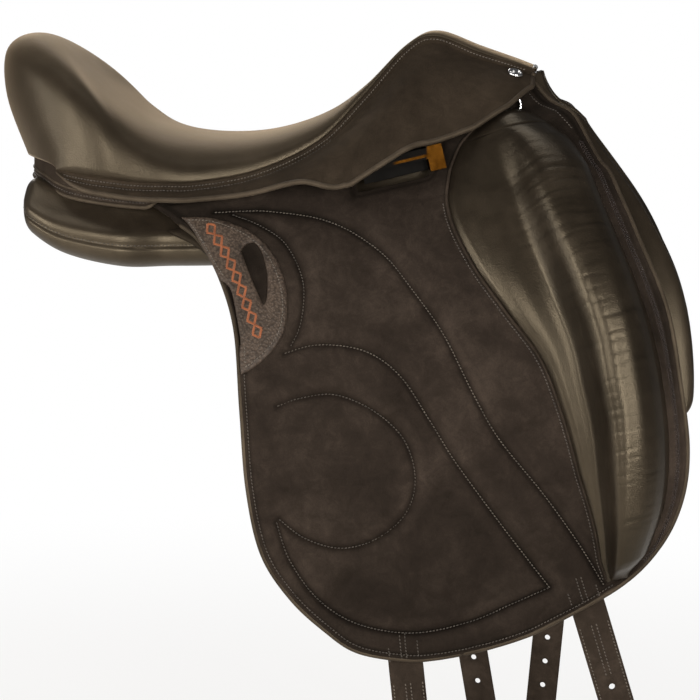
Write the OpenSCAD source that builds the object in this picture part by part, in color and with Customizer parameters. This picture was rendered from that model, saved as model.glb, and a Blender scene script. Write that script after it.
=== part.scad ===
// Dressage saddle with one padded flap a side: tree, seat, skirts, panels,
// knee blocks, recessed stirrup bars, rings and girth billets.
// Millimetres. +X runs forward to the pommel, +Y to the horse's left, +Z up.
// The origin is on the centre line, below the lowest point of the seat,
// level with the underside of the panels.
// Every right-hand piece is drawn on the -Y side and mirrored for the left.

/* [Seat] */
// Lowest seat point back to the cantle
seat_back = 216; // [200:1:230]
// Lowest seat point forward to the front of the pommel
seat_front = 262; // [250:1:275]
// Underside of the panels up to the lowest seat point
seat_height = 115; // [113:1:122]
// Rise of the cantle above the lowest seat point
cantle_rise = 91; // [80:1:105]
// Rise of the pommel above the lowest seat point
pommel_rise = 93; // [85:1:105]
// Half width of the seat at its widest
seat_half_width = 128; // [122:1:132]
// Drop of the side seam below the lowest seat point
seam_drop = 41; // [38:1:43]
// Thickness of the seat leather
seat_leather = 3; // [2:0.5:4]
// Thickness of the seat foam
seat_foam_depth = 15; // [12:1:16]

/* [Skirt] */
// Thickness of the skirt leather
skirt_leather = 4; // [3:0.5:5]
// Diameter of the piping between seat and skirt
welt_d = 5; // [4:0.5:6]
// Diameter of the stud that holds the skirt's tip
stud_d = 13; // [10:0.5:15]

/* [Flap] */
// Length of the flap along its hinge line
flap_width = 497; // [470:1:520]
// Drop of the flap from its hinge line to its lowest point
flap_drop = 434; // [400:1:460]
// How far the flap stands out at its bottom, from the hinge line
flap_flare = 112; // [95:1:125]
// Thickness of the padded outer layer
flap_thick = 9; // [7:0.5:11]
// Thickness of the lining
lining_thick = 2.5; // [2:0.5:3]
// Height of the knee block above the flap
block_height = 46; // [30:1:52]
// Thickness of the leather patch
patch_thick = 2.5; // [1.5:0.5:4]

/* [Girth billets] */
// Width of a billet
billet_width = 30; // [24:1:34]
// Thickness of a billet
billet_thick = 4; // [3:0.5:5]
// Length of a billet below the flap
billet_length = 235; // [180:1:280]
// Diameter of a buckle hole
buckle_hole_d = 5.5; // [4:0.5:7]
// Distance from one buckle hole to the next
buckle_hole_pitch = 25; // [20:1:30]
// Number of buckle holes in a billet
buckle_holes = 6; // [4:1:7]

/* [Stirrup bar] */
// Length of the bar that carries the stirrup leather
bar_length = 50; // [45:1:60]
// Height of the bar
bar_height = 10; // [8:0.5:12]
// Thickness of the bar
bar_thick = 6; // [5:0.5:8]
// Gap behind the bar for the stirrup leather
bar_gap = 13; // [11:0.5:15]
// Diameter of the catch's pin
catch_pin_d = 3; // [2.5:0.1:4]

/* [Panels and tree] */
// Width of the channel between the two panels
gullet_width = 70; // [60:1:80]
// Width of a tree rail
rail_width = 24; // [20:1:26]
// Thickness of a tree rail
rail_thick = 10; // [8:0.5:11]
// Thickness of the steel head plate
head_plate_thick = 4; // [3:0.5:5]

/* [Rings] */
// Diameter of a front ring's wire
ring_wire = 3; // [2.5:0.5:3.5]
// Diameter of a front ring at the middle of its wire
ring_mid_d = 18; // [16:1:20]

/* [Fits] */
// Gap between pieces that lie against each other
lie_gap = 0.4; // [0.3:0.1:0.8]
// Radial clearance of the catch on its pin
pin_clearance = 0.05; // [0.02:0.01:0.1]

/* [Hidden] */
$fn = 32;

// Colours
nubuck = [0.13, 0.10, 0.085];
smooth_leather = [0.07, 0.06, 0.055];
patch_leather = [0.25, 0.21, 0.18];
steel = [0.75, 0.75, 0.77];
brass = [0.80, 0.62, 0.30];
black_plastic = [0.05, 0.05, 0.05];
timber = [0.66, 0.50, 0.32];
webbing = [0.82, 0.76, 0.62];
foam = [0.85, 0.82, 0.70];

// Curves and lists
function mix(a, b, t) = a + (b - a) * t;
function clamp(v, low, high) = min(max(v, low), high);
function ease(t) = let(k = clamp(t, 0, 1)) k * k * (3 - 2 * k);
function unit(v) = v / norm(v);
function flatten(rows) = [for (r = rows) each r];
function power(v, e) = sign(v) * pow(abs(v), e);

// Smooth curve through the rows of a list, at t = 0 .. len - 1
function curve_at(list, t) =
  let(n = len(list), i = clamp(floor(t), 0, n - 2), f = t - i,
      a = list[max(i - 1, 0)], b = list[i], c = list[i + 1], d = list[min(i + 2, n - 1)])
  b + 0.5 * f * (c - a + f * (2 * a - 5 * b + 4 * c - d + f * (3 * b - 3 * c + d - a)));

// Value of column k of a list, at the place v in its rising column 0
function row_place(list, v, i = 0) =
  i >= len(list) - 2 || v < list[i + 1][0]
    ? i + clamp((v - list[i][0]) / (list[i + 1][0] - list[i][0]), 0, 1)
    : row_place(list, v, i + 1);
function smooth_lookup(list, v, k) = curve_at(list, row_place(list, v))[k];

// Closed sheet between two grids of points with the same rows and columns
module sheet(outer, inner) {
  n = len(outer);
  m = len(outer[0]);
  size = n * m;
  quads = concat(
    [for (i = [0 : n - 2], j = [0 : m - 2])
      [i * m + j, i * m + j + 1, (i + 1) * m + j + 1, (i + 1) * m + j]],
    [for (i = [0 : n - 2], j = [0 : m - 2])
      [size + i * m + j, size + (i + 1) * m + j, size + (i + 1) * m + j + 1, size + i * m + j + 1]],
    [for (j = [0 : m - 2])
      [j, size + j, size + j + 1, j + 1]],
    [for (j = [0 : m - 2])
      let(k = (n - 1) * m + j) [k, k + 1, size + k + 1, size + k]],
    [for (i = [0 : n - 2])
      let(k = i * m) [k, k + m, size + k + m, size + k]],
    [for (i = [0 : n - 2])
      let(k = i * m + m - 1) [k, size + k, size + k + m, k + m]]
  );
  polyhedron(concat(flatten(outer), flatten(inner)),
    [for (q = quads) each [[q[0], q[1], q[2]], [q[0], q[2], q[3]]]]);
}

// Closed body through a row of rings with the same number of points
module loft(rings) {
  n = len(rings);
  m = len(rings[0]);
  first_mid = n * m;
  last_mid = n * m + 1;
  middle = [for (r = [rings[0], rings[n - 1]]) [for (k = [0 : 2]) sum_of([for (p = r) p[k]]) / m]];
  faces = concat(
    [for (i = [0 : n - 2], j = [0 : m - 1])
      let(a = i * m + j, b = i * m + (j + 1) % m) each [[a, b, b + m], [a, b + m, a + m]]],
    [for (j = [0 : m - 1]) [first_mid, (j + 1) % m, j]],
    [for (j = [0 : m - 1]) [last_mid, (n - 1) * m + j, (n - 1) * m + (j + 1) % m]]
  );
  polyhedron(concat(flatten(rings), middle), faces);
}
function sum_of(list, i = 0) = i >= len(list) ? 0 : list[i] + sum_of(list, i + 1);

// Ring of points round a path point, in the plane square to its direction
function ring_at(path, i, half_w, half_h, sides, up = [0, 0, 1]) =
  let(n = len(path), along = unit(path[min(i + 1, n - 1)] - path[max(i - 1, 0)]),
      side = unit(cross(up, along)), top = cross(along, side))
  [for (k = [0 : sides - 1])
    let(a = 360 * (k + 0.5) / sides) path[i] + side * half_w * cos(a) - top * half_h * sin(a)];
module tube(path, half_w, half_h, sides) {
  loft([for (i = [0 : len(path) - 1]) ring_at(path, i, half_w, half_h, sides)]);
}

// Seat surface
// Each row crosses the seat: share of the length at the middle, share of the
// rise at the middle, share of the length at the seam, share of the half
// width at the seam, and height of the seam. Shares behind the lowest point
// are of the cantle's sizes, and those before it are of the pommel's.
seat_rows = [
  [-0.89, -0.19, -0.69, 0.88, -0.80],
  [-0.98, 0.38, -0.65, 0.92, -0.84],
  [-0.98, 0.84, -0.60, 0.95, -0.90],
  [-0.87, 1.00, -0.54, 0.98, -0.95],
  [-0.73, 0.86, -0.46, 1.00, -1.00],
  [-0.57, 0.48, -0.36, 0.99, -1.06],
  [-0.36, 0.14, -0.24, 0.97, -1.07],
  [-0.14, 0.01, -0.10, 0.91, -1.03],
  [0.11, 0.03, 0.11, 0.81, -0.74],
  [0.32, 0.22, 0.31, 0.69, -0.12],
  [0.48, 0.54, 0.45, 0.55, 0.29],
  [0.61, 0.90, 0.59, 0.38, 0.72],
  [0.70, 1.00, 0.69, 0.30, 0.86],
  [0.84, 0.86, 0.84, 0.33, 0.74],
  [1.00, 0.66, 1.00, 0.38, 0.61]
];
first_front_row = 8;
seat_steps = 2;
seat_columns = 12;
seat_squareness = 0.78;
seat_sweep = 2.2;
function length_of(share) = share * (share < 0 ? seat_back : seat_front);
function seat_row(i) =
  let(r = seat_rows[i], rise = i < first_front_row ? cantle_rise : pommel_rise)
  [length_of(r[0]), seat_height + r[1] * rise, length_of(r[2]), r[3] * seat_half_width,
   seat_height + r[4] * (r[4] < 0 ? seam_drop : pommel_rise)];
seat_control = [for (i = [0 : len(seat_rows) - 1]) seat_row(i)];
seat_last = len(seat_rows) - 1;
function seat_at(u) = curve_at(seat_control, u);
// Inward direction of the middle line
function seat_inward(u) =
  let(t = seat_at(min(u + 0.3, seat_last)) - seat_at(max(u - 0.3, 0))) unit([t[1], -t[0]]);
// Point of the seat at row u and turn a from -90 (right seam) to 90, a depth below the leather's face
function seat_point(u, a, depth) =
  let(r = seat_at(u), inward = seat_inward(u) * depth,
      middle_x = r[0] + inward[0], middle_z = r[1] + inward[1], half = r[3] - depth,
      side = pow(abs(sin(a)), seat_squareness), top = pow(cos(a), seat_squareness))
  [mix(middle_x, r[2], pow(abs(sin(a)), seat_sweep)), sign(a) * half * side, mix(r[4], middle_z, top)];
function seat_grid(depth) =
  [for (u = [0 : 1 / seat_steps : seat_last])
    [for (j = [0 : seat_columns]) seat_point(u, -90 + 180 * j / seat_columns, depth)]];
// Right-hand seam, at row u
function seam_point(u) = let(r = seat_at(u)) [r[2], -r[3], r[4]];

module seat_cover() {
  color(smooth_leather) sheet(seat_grid(0), seat_grid(seat_leather));
}

module seat_foam() {
  color(foam)
    sheet(seat_grid(seat_leather + lie_gap), seat_grid(seat_leather + lie_gap + seat_foam_depth));
}

// Piping under the seat's seam
welt_drop = welt_d / 2 + lie_gap;
// Direction square to the seam, away from the seat, seen from the side
function seam_down(u) =
  let(t = seam_point(min(u + 0.2, seat_last)) - seam_point(max(u - 0.2, 0))) unit([t[2], 0, -t[0]]);
function welt_point(u) = seam_point(u) + [0, welt_d / 2, 0] + welt_drop * seam_down(u);
module seat_welt_right() {
  color(smooth_leather)
    tube([for (u = [0 : 0.5 : seat_last]) welt_point(u)], welt_d / 2, welt_d / 2, 6);
}

// Skirt: place along the seat, how far its edge stands out from the seam, and how far it drops
skirt_rows = [
  [-0.69, 4, 4],
  [-0.50, 5, 6],
  [-0.30, 8, 7],
  [-0.08, 14, 7],
  [0.10, 22, 10],
  [0.26, 38, 18],
  [0.40, 59, 49],
  [0.47, 68, 58],
  [0.57, 73, 71],
  [0.70, 69, 77],
  [0.84, 54, 54],
  [0.93, 38, 28],
  [1.00, 12, 6]
];
skirt_steps = 26;
skirt_columns = 4;
skirt_bulge = 9;
skirt_last_row = seat_last;
function skirt_share(u) = let(x = seat_at(u)[2]) x / (x < 0 ? seat_back : seat_front);
function skirt_top(u) = seam_point(u) + [0, welt_d / 2, 0] + 2 * welt_drop * seam_down(u);
function skirt_point(u, w, depth) =
  let(out = smooth_lookup(skirt_rows, skirt_share(u), 1) + welt_d / 2,
      drop = smooth_lookup(skirt_rows, skirt_share(u), 2),
      inward = unit([0, drop, -out]),
      bulge = skirt_bulge * sin(180 * w) * ease(drop / 40))
  skirt_top(u) + [0, -out * w, -drop * w] + inward * (depth - bulge);
function skirt_grid(depth) =
  [for (i = [0 : skirt_steps])
    [for (j = [0 : skirt_columns])
      skirt_point(skirt_last_row * i / skirt_steps, j / skirt_columns, depth)]];
module skirt_right() {
  color(nubuck) sheet(skirt_grid(skirt_leather), skirt_grid(0));
}

// Studs at the skirt tips
stud_row = 13.7;
stud_share = 0.4;
stud_lift = 4;
stud_seat = 0.9;
function skirt_normal(u, w) =
  unit(cross(skirt_point(u, w + 0.1, 0) - skirt_point(u, w - 0.1, 0),
    skirt_point(u + 0.1, w, 0) - skirt_point(u - 0.1, w, 0)));
module stud_right() {
  n = skirt_normal(stud_row, stud_share);
  translate(skirt_point(stud_row, stud_share, 0) + stud_seat * n)
    rotate([0, acos(n[2]), atan2(n[1], n[0])]) rotate_extrude() polygon([
      [0, 0], [stud_d / 2, 0], [stud_d / 2, 1], [stud_d / 3, stud_lift], [0, stud_lift * 0.8]
    ]);
}
module pommel_studs() {
  color(steel) {
    stud_right();
    mirror([0, 1, 0]) stud_right();
  }
}

// Flap frame: s runs along the hinge line, d straight down, h outward from the flap's face
hinge_rear = [-72, -seat_half_width + 2, seat_height - 73];
hinge_front = [seat_front + 27, -72, seat_height + 13];
hinge_along = unit(hinge_front - hinge_rear);
hinge_yaw = atan2(hinge_along[1], hinge_along[0]);
hinge_pitch = asin(hinge_along[2]);
flare_length = 125;
flare_power = 1.25;
upper_slope = 0.35;
function flare_at(d) =
  d < 0 ? upper_slope * d : flap_flare * (1 - exp(-pow(d / flare_length, flare_power)));
function flare_slope(d) = flare_at(d + 0.5) - flare_at(d - 0.5);
function flap_point(s, d, h) =
  hinge_rear + hinge_along * s + [0, -flare_at(d), -d] + h * unit([0, -1, flare_slope(d)]);
module hinge_frame() {
  translate(hinge_rear) rotate([0, -hinge_pitch, hinge_yaw]) children();
}

// Stirrup bar in the hinge frame: x along the hinge line, y inward, z up
bar_rear = 208;
bar_front = bar_rear + bar_length;
bar_middle = bar_rear + bar_length / 2 + 6;
bar_z = -4;
bar_arm = 14;
bar_arm_height = 22;
bar_arm_z = -15;
bar_face_y = -18;
recess_thick = 2.5;
rivet_room = 4;
bar_base_y = bar_face_y + bar_thick + bar_gap + recess_thick + rivet_room;
bar_base_thick = 3;
recess_height = 30;
recess_z = bar_z + (bar_height - recess_height) / 2;
recess_lead = 8;
tongue_length = 12;
tongue_share = 0.45;
catch_length = 18;
catch_pin_x = bar_rear + tongue_length / 2 - 1;
notch_margin = 13.6;
bar_arm_margin = 8.8;

// Flap outline: drop as a share of the flap's drop, rear and front edge as shares of its width
flap_rows = [
  [0.01, 0.06, 0.765],
  [0.06, 0.11, 0.81],
  [0.14, 0.155, 0.855],
  [0.25, 0.19, 0.905],
  [0.41, 0.205, 0.96],
  [0.57, 0.22, 0.985],
  [0.70, 0.245, 1.00],
  [0.80, 0.295, 0.99],
  [0.88, 0.355, 0.95],
  [0.94, 0.41, 0.88],
  [0.985, 0.50, 0.75],
  [1.00, 0.58, 0.68]
];
flap_columns = 14;
flap_levels = [0.01, 0.035, 0.06, 0.10, 0.15, 0.21, 0.27, 0.34, 0.41, 0.49, 0.57, 0.65,
  0.72, 0.78, 0.83, 0.88, 0.92, 0.955, 0.98, 1.00];
notch_drop = 14;
notch_rear = (bar_rear - recess_lead - notch_margin) / flap_width;
notch_front = (bar_front + bar_arm + bar_arm_margin) / flap_width;
notch_blend = 0.03;
front_rise = 14;
front_rise_start = 0.60;
front_rise_end = 0.66;
top_fade = 0.17;
// Downward shift of the flap's top edge: the stirrup bar's notch, and the rise before it
function top_shift(share) =
  notch_drop * (ease((share - notch_rear) / notch_blend) - ease((share - notch_front) / notch_blend))
  - front_rise * ease((share - front_rise_start) / (front_rise_end - front_rise_start));
function edge_share(level, side) = smooth_lookup(flap_rows, level, side);
function flap_place(level, t) =
  let(share = mix(edge_share(level, 1), edge_share(level, 2), t),
      fade = 1 - ease((level - flap_levels[0]) / top_fade))
  [share * flap_width, level * flap_drop + top_shift(share) * fade];
rim_round = 3;
function on_rim(i, j) = i == 0 || i == len(flap_levels) - 1 || j == 0 || j == flap_columns;
function flap_grid(h, round) =
  [for (i = [0 : len(flap_levels) - 1])
    [for (j = [0 : flap_columns])
      let(p = flap_place(flap_levels[i], j / flap_columns))
      flap_point(p[0], p[1], on_rim(i, j) ? h - round : h)]];
web_gap = 2.8;
lining_top = -flap_thick - web_gap;
module flap_right() {
  color(nubuck) sheet(flap_grid(0, rim_round), flap_grid(-flap_thick, 0));
}
module flap_lining_right() {
  color(smooth_leather)
    sheet(flap_grid(lining_top, 0), flap_grid(lining_top - lining_thick, 0));
}

// Knee block outline and height: drop, rear seam and front edge as shares of the flap, height share
block_rows = [
  [-0.045, 0.63, 0.69, 0.05],
  [-0.02, 0.60, 0.725, 0.25],
  [0.05, 0.565, 0.79, 0.58],
  [0.12, 0.565, 0.825, 0.80],
  [0.22, 0.61, 0.86, 0.93],
  [0.33, 0.68, 0.90, 1.00],
  [0.45, 0.75, 0.935, 1.00],
  [0.57, 0.80, 0.955, 1.00],
  [0.70, 0.835, 0.965, 0.97],
  [0.80, 0.855, 0.955, 0.85],
  [0.88, 0.865, 0.925, 0.58],
  [0.925, 0.87, 0.89, 0.20]
];
block_levels = [-0.045, -0.03, -0.01, 0.02, 0.06, 0.10, 0.15, 0.21, 0.27, 0.34, 0.41, 0.49, 0.57,
  0.65, 0.72, 0.78, 0.83, 0.87, 0.90, 0.925];
block_columns = 10;
block_ridge = 1.35;
block_seat = 0.8;
function block_grid(crowned) =
  [for (level = block_levels)
    [for (j = [0 : block_columns])
      let(t = j / block_columns,
          share = mix(smooth_lookup(block_rows, level, 1), smooth_lookup(block_rows, level, 2), t),
          crown = pow(sin(180 * pow(t, block_ridge)), 0.8) * smooth_lookup(block_rows, level, 3))
      flap_point(share * flap_width, level * flap_drop,
        block_seat + (crowned ? 1 + crown * (block_height - 1) : 0))]];
module knee_block_right() {
  color(smooth_leather) sheet(block_grid(true), block_grid(false));
}

// Leather patch with a drop-shaped opening and a slit for a strap end.
// Rows: drop, rear edge, rear and front side of the opening, front edge, as shares of the flap
patch_rows = [
  [0.035, 0.105, 0.115, 0.125, 0.135],
  [0.06, 0.12, 0.15, 0.165, 0.19],
  [0.095, 0.137, 0.195, 0.212, 0.225],
  [0.115, 0.145, 0.192, 0.226, 0.237],
  [0.15, 0.158, 0.205, 0.236, 0.256],
  [0.18, 0.180, 0.218, 0.240, 0.268],
  [0.215, 0.190, 0.236, 0.241, 0.276],
  [0.26, 0.200, 0.230, 0.240, 0.278],
  [0.275, 0.192, 0.225, 0.238, 0.274],
  [0.31, 0.199, 0.215, 0.235, 0.255],
  [0.335, 0.202, 0.206, 0.213, 0.222]
];
opening_first = 2;
opening_last = 6;
patch_seat = 0.5;
function patch_at(i, k, h) =
  flap_point(patch_rows[i][k] * flap_width, patch_rows[i][0] * flap_drop, patch_seat + h);
module keeper_patch_right() {
  n = len(patch_rows);
  m = 4;
  size = n * m;
  points = concat(
    [for (i = [0 : n - 1], k = [1 : m]) patch_at(i, k, patch_thick)],
    [for (i = [0 : n - 1], k = [1 : m]) patch_at(i, k, 0)]);
  function open(i, j) = j == 1 && i >= opening_first && i < opening_last;
  tops = [for (i = [0 : n - 2], j = [0 : m - 2]) if (!open(i, j))
    [i * m + j, i * m + j + 1, (i + 1) * m + j + 1, (i + 1) * m + j]];
  unders = [for (q = tops) [size + q[0], size + q[3], size + q[2], size + q[1]]];
  outside = concat(
    [for (j = [0 : m - 2]) [j, size + j, size + j + 1, j + 1]],
    [for (j = [0 : m - 2]) let(k = (n - 1) * m + j) [k, k + 1, size + k + 1, size + k]],
    [for (i = [0 : n - 2]) let(k = i * m) [k, k + m, size + k + m, size + k]],
    [for (i = [0 : n - 2]) let(k = i * m + m - 1) [k, size + k, size + k + m, k + m]]);
  inside = concat(
    [let(k = opening_first * m + 1) [k, k + 1, size + k + 1, size + k]],
    [let(k = opening_last * m + 1) [k, size + k, size + k + 1, k + 1]],
    [for (i = [opening_first : opening_last - 1])
      let(k = i * m + 1) [k, size + k, size + k + m, k + m]],
    [for (i = [opening_first : opening_last - 1])
      let(k = i * m + 2) [k, k + m, size + k + m, size + k]]);
  color(patch_leather) polyhedron(points,
    [for (q = concat(tops, unders, outside, inside)) each [[q[0], q[1], q[2]], [q[0], q[2], q[3]]]]);
}

// Girth billets: where each leaves the flap, as shares of the flap's width and drop, and its tilt
billet_rear_place = [0.50, 0.999];
billet_rear_tilt = 6;
billet_front_place = [0.827, 0.972];
billet_front_tilt = 17;
left_rear_place = [0.56, 1.006];
left_rear_tilt = 10;
left_front_place = [0.77, 1.000];
left_front_tilt = -5;
billet_depth = -flap_thick - web_gap / 2;
billet_end_r = billet_thick / 2;
billet_tip = 22;
billet_tip_width = 9;
first_hole = 74;
function billet_root(place) = flap_point(place[0] * flap_width, place[1] * flap_drop, billet_depth);
module billet(place, tilt) {
  half = billet_width / 2;
  color(nubuck) translate(billet_root(place)) rotate([0, -tilt, hinge_yaw]) difference() {
    union() {
      rotate([90, 0, 0]) linear_extrude(billet_thick, center = true) polygon([
        [-half, 0], [half, 0], [half, billet_tip - billet_length],
        [billet_tip_width / 2, -billet_length], [-billet_tip_width / 2, -billet_length],
        [-half, billet_tip - billet_length]
      ]);
      rotate([0, 90, 0]) cylinder(h = billet_width, r = billet_end_r, center = true);
    }
    for (k = [0 : buckle_holes - 1])
      translate([0, 0, -first_hole - k * buckle_hole_pitch])
        rotate([90, 0, 0]) cylinder(h = 3 * billet_thick, d = buckle_hole_d, center = true);
  }
}

// Webs inside the flap that carry the billets
web_thick = web_gap - 2 * lie_gap;
web_top = 0.40;
web_margin = 0.02;
web_lead_rear = 0.06;
web_lead_front = 0.16;
flap_ahead = [cos(hinge_yaw), sin(hinge_yaw), 0];
flap_outward = [sin(hinge_yaw), -cos(hinge_yaw), 0];
function web_end(place, tilt, side, h) =
  billet_root(place) + (billet_end_r + lie_gap) * (cos(tilt) * [0, 0, 1] - sin(tilt) * flap_ahead)
  + side * billet_width / 2 * (cos(tilt) * flap_ahead + sin(tilt) * [0, 0, 1])
  + (h - billet_depth) * flap_outward;
function web_grid(place, tilt, lead, h) =
  concat(
    [for (level = flap_levels) if (level > web_top && level < place[1] - web_margin)
      [for (side = [-1, 0, 1])
        let(t = (level - web_top) / (place[1] - web_top),
            share = place[0] - lead * (1 - t))
        flap_point(share * flap_width + side * billet_width / 2, level * flap_drop, h)]],
    [[for (side = [-1, 0, 1]) web_end(place, tilt, side, h)]]);
module girth_web(place, tilt, lead) {
  face = -flap_thick - lie_gap;
  sheet(web_grid(place, tilt, lead, face), web_grid(place, tilt, lead, face - web_thick));
}
module girth_webs(rear_place, rear_tilt, front_place, front_tilt) {
  color(webbing) {
    girth_web(rear_place, rear_tilt, web_lead_rear);
    girth_web(front_place, front_tilt, web_lead_front);
  }
}
module girth_webs_right() {
  girth_webs(billet_rear_place, billet_rear_tilt, billet_front_place, billet_front_tilt);
}
module girth_webs_left() {
  girth_webs(left_rear_place, left_rear_tilt, left_front_place, left_front_tilt);
}

// Panels
// Rows along the panel: place, inner side beyond the channel's edge, outer
// side at the top, widest outer side, underside, and top below the lowest seat point
panel_rows = [
  [-0.86, 27, 98, 104, 36, 53],
  [-0.80, 13, 114, 126, 13, 55],
  [-0.65, 5, 120, 140, 3, 63],
  [-0.42, 1, 120, 142, 0, 64],
  [-0.23, 0, 100, 118, 0, 66],
  [0.00, 0, 92, 114, 1, 63],
  [0.23, 1, 84, 108, 6, 55],
  [0.46, 3, 76, 100, 14, 45],
  [0.69, 5, 64, 88, 27, 33],
  [0.90, 7, 54, 76, 46, 19]
];
panel_crown = 14;
panel_steps = 18;
panel_sides = 14;
panel_squareness = 0.6;
function panel_ring(place) =
  let(r = curve_at(panel_rows, place), inner = gullet_width / 2 + r[1],
      middle = (inner + r[3]) / 2, top = seat_height - r[5],
      middle_z = (r[4] + top) / 2, half_z = (top - r[4]) / 2)
  [for (k = [0 : panel_sides - 1])
    let(a = 360 * (k + 0.5) / panel_sides, c = power(cos(a), panel_squareness),
        s = power(sin(a), panel_squareness), outer = mix(r[3], r[2], ease(s)))
    [length_of(r[0]), -(middle + c * (c > 0 ? outer - middle : middle - inner)),
     middle_z + half_z * s + panel_crown * max(s, 0) * (1 - c * c)]];
module panel_right() {
  last = len(panel_rows) - 1;
  color(smooth_leather) loft([for (i = [0 : panel_steps]) panel_ring(last * i / panel_steps)]);
}

// Padded roll along the front of the panel, behind the flap's front edge.
// Rows: drop, front face as shares of the flap, width, and thickness
roll_rows = [
  [0.03, 0.80, 76, 14],
  [0.10, 0.870, 103, 18],
  [0.20, 0.930, 120, 20],
  [0.34, 0.982, 96, 20],
  [0.48, 1.008, 68, 18],
  [0.60, 1.012, 36, 14],
  [0.635, 0.995, 18, 8]
];
roll_steps = 14;
roll_sides = 10;
roll_gap = 0.7;
function roll_ring(place) =
  let(r = curve_at(roll_rows, place), face = lining_top - lining_thick - roll_gap)
  [for (k = [0 : roll_sides - 1])
    let(a = 360 * (k + 0.5) / roll_sides)
    flap_point(r[1] * flap_width - r[2] / 2 + r[2] / 2 * power(cos(a), 0.7), r[0] * flap_drop,
      face - r[3] / 2 - r[3] / 2 * power(sin(a), 0.7))];
module front_roll_right() {
  last = len(roll_rows) - 1;
  color(smooth_leather) loft([for (i = [0 : roll_steps]) roll_ring(last * i / roll_steps)]);
}

// Band that closes the rear of the seat down to the panels
facing_height = 13;
facing_thick = 5;
facing_drop = 6;
facing_inset = 9;
facing_columns = 14;
facing_last_row = 5.2;
facing_side_steps = 7;
facing_shift = [0, 0, -facing_drop - facing_height / 2];
function facing_back(k) = seat_point(0, -90 + 180 * k / facing_columns, facing_inset) + facing_shift;
function facing_side(k, side) =
  let(p = seam_point(facing_last_row * k / facing_side_steps))
  [p[0], side * (p[1] + facing_inset), p[2]] + facing_shift;
module rear_facing() {
  path = concat(
    [for (k = [facing_side_steps : -1 : 1]) facing_side(k, 1)],
    [for (k = [0 : facing_columns]) facing_back(k)],
    [for (k = [1 : facing_side_steps]) facing_side(k, -1)]);
  color(smooth_leather) tube(path, facing_thick / 2, facing_height / 2, 8);
}

// Tree: two rails from the head to the cantle, bridged at both ends.
// Rows: place along the seat, distance from the middle, height above the lowest seat point
tree_rows = [
  [0.90, 0, 42],
  [0.88, 24, 41.5],
  [0.80, 36, 29],
  [0.66, 44, 11],
  [0.45, 54, -11],
  [0.20, 74, -36],
  [-0.05, 82, -44.5],
  [-0.30, 87, -43],
  [-0.55, 82, -33],
  [-0.70, 60, -13],
  [-0.76, 32, -1],
  [-0.78, 0, 3]
];
bar_block = [62, 22, 16];
bar_block_z = 7;
function tree_point(i) = let(r = tree_rows[i]) [length_of(r[0]), -r[1], seat_height + r[2]];
module tree_joint(i) {
  translate(tree_point(i)) cube([rail_width * 0.7, rail_width, rail_thick], center = true);
}
module tree_half() {
  for (i = [0 : len(tree_rows) - 2]) hull() {
    tree_joint(i);
    tree_joint(i + 1);
  }
  bar_block_y = bar_base_y + bar_base_thick + lie_gap + bar_block[1] / 2;
  hinge_frame() translate([bar_middle, bar_block_y, bar_block_z]) cube(bar_block, center = true);
}
module tree() {
  color(timber) {
    tree_half();
    mirror([0, 1, 0]) tree_half();
  }
}

// Steel arch under the tree's head, and its rivets
head_plate_width = 22;
head_plate_half = 34;
head_plate_leg = 34;
head_plate_place = 0.93;
head_plate_top = seat_height + tree_rows[0][2] - rail_thick / 2 - lie_gap;
module head_plate() {
  outer = head_plate_half;
  inner = head_plate_half - head_plate_thick;
  color(steel) translate([length_of(head_plate_place), 0, head_plate_top - outer])
    rotate([90, 0, 90]) linear_extrude(head_plate_width, center = true) difference() {
      union() {
        circle(r = outer, $fn = 64);
        translate([-outer, -head_plate_leg]) square([2 * outer, head_plate_leg]);
      }
      circle(r = inner, $fn = 64);
      translate([-inner, -head_plate_leg - 1]) square([2 * inner, head_plate_leg + 1]);
    }
}
rivet_head_d = 8;
rivet_head = 1.6;
module tree_rivets() {
  color(steel) for (side = [-1, 1], lean = [50, 76])
    translate([length_of(head_plate_place), 0, head_plate_top - head_plate_half])
      rotate([-side * lean, 0, 0]) translate([0, 0, head_plate_half + lie_gap / 8])
        cylinder(h = rivet_head, d = rivet_head_d);
}

// Webs that span the tree under the seat
web_strap_width = 26;
web_strap_thick = 2;
web_strap_side = 17;
web_strap_rows = [
  [0.83, 36], [0.62, 23], [0.30, -11], [0.04, -27], [-0.22, -26], [-0.50, -11], [-0.77, 6]
];
module seat_webbing() {
  color(webbing) for (side = [-1, 1], i = [0 : len(web_strap_rows) - 2]) hull()
    for (r = [web_strap_rows[i], web_strap_rows[i + 1]])
      translate([length_of(r[0]), side * web_strap_side, seat_height + r[1]])
        cube([2, web_strap_width, web_strap_thick], center = true);
}

// Leather over the front of the pommel
facing_front_thick = 4;
module pommel_facing() {
  front = length_of(1) + lie_gap;
  half = [[0, 59], [30, 57], [44, 49], [41, 33], [56, 3], [62, -17], [44, -23], [38, -5],
    [34, 9], [20, 25], [0, 31]];
  color(smooth_leather) translate([front, 0, seat_height])
    rotate([90, 0, 90]) linear_extrude(facing_front_thick)
      polygon(concat(half, [for (i = [len(half) - 2 : -1 : 1]) [-half[i][0], half[i][1]]]));
}

// Leather strip that joins the flap to the tree
hanger_start = 45;
hanger_end = 185;
hanger_reach = 14.5;
hanger_lift = 12.6;
hanger_thick = 3;
hanger_start_y = 4;
hanger_start_z = -6.6;
module flap_hanger_right() {
  color(nubuck) hinge_frame() hull()
    for (k = [0, 1])
      translate([hanger_start, hanger_start_y + k * hanger_reach, hanger_start_z + k * hanger_lift])
        cube([hanger_end - hanger_start, 1, hanger_thick]);
}

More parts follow.
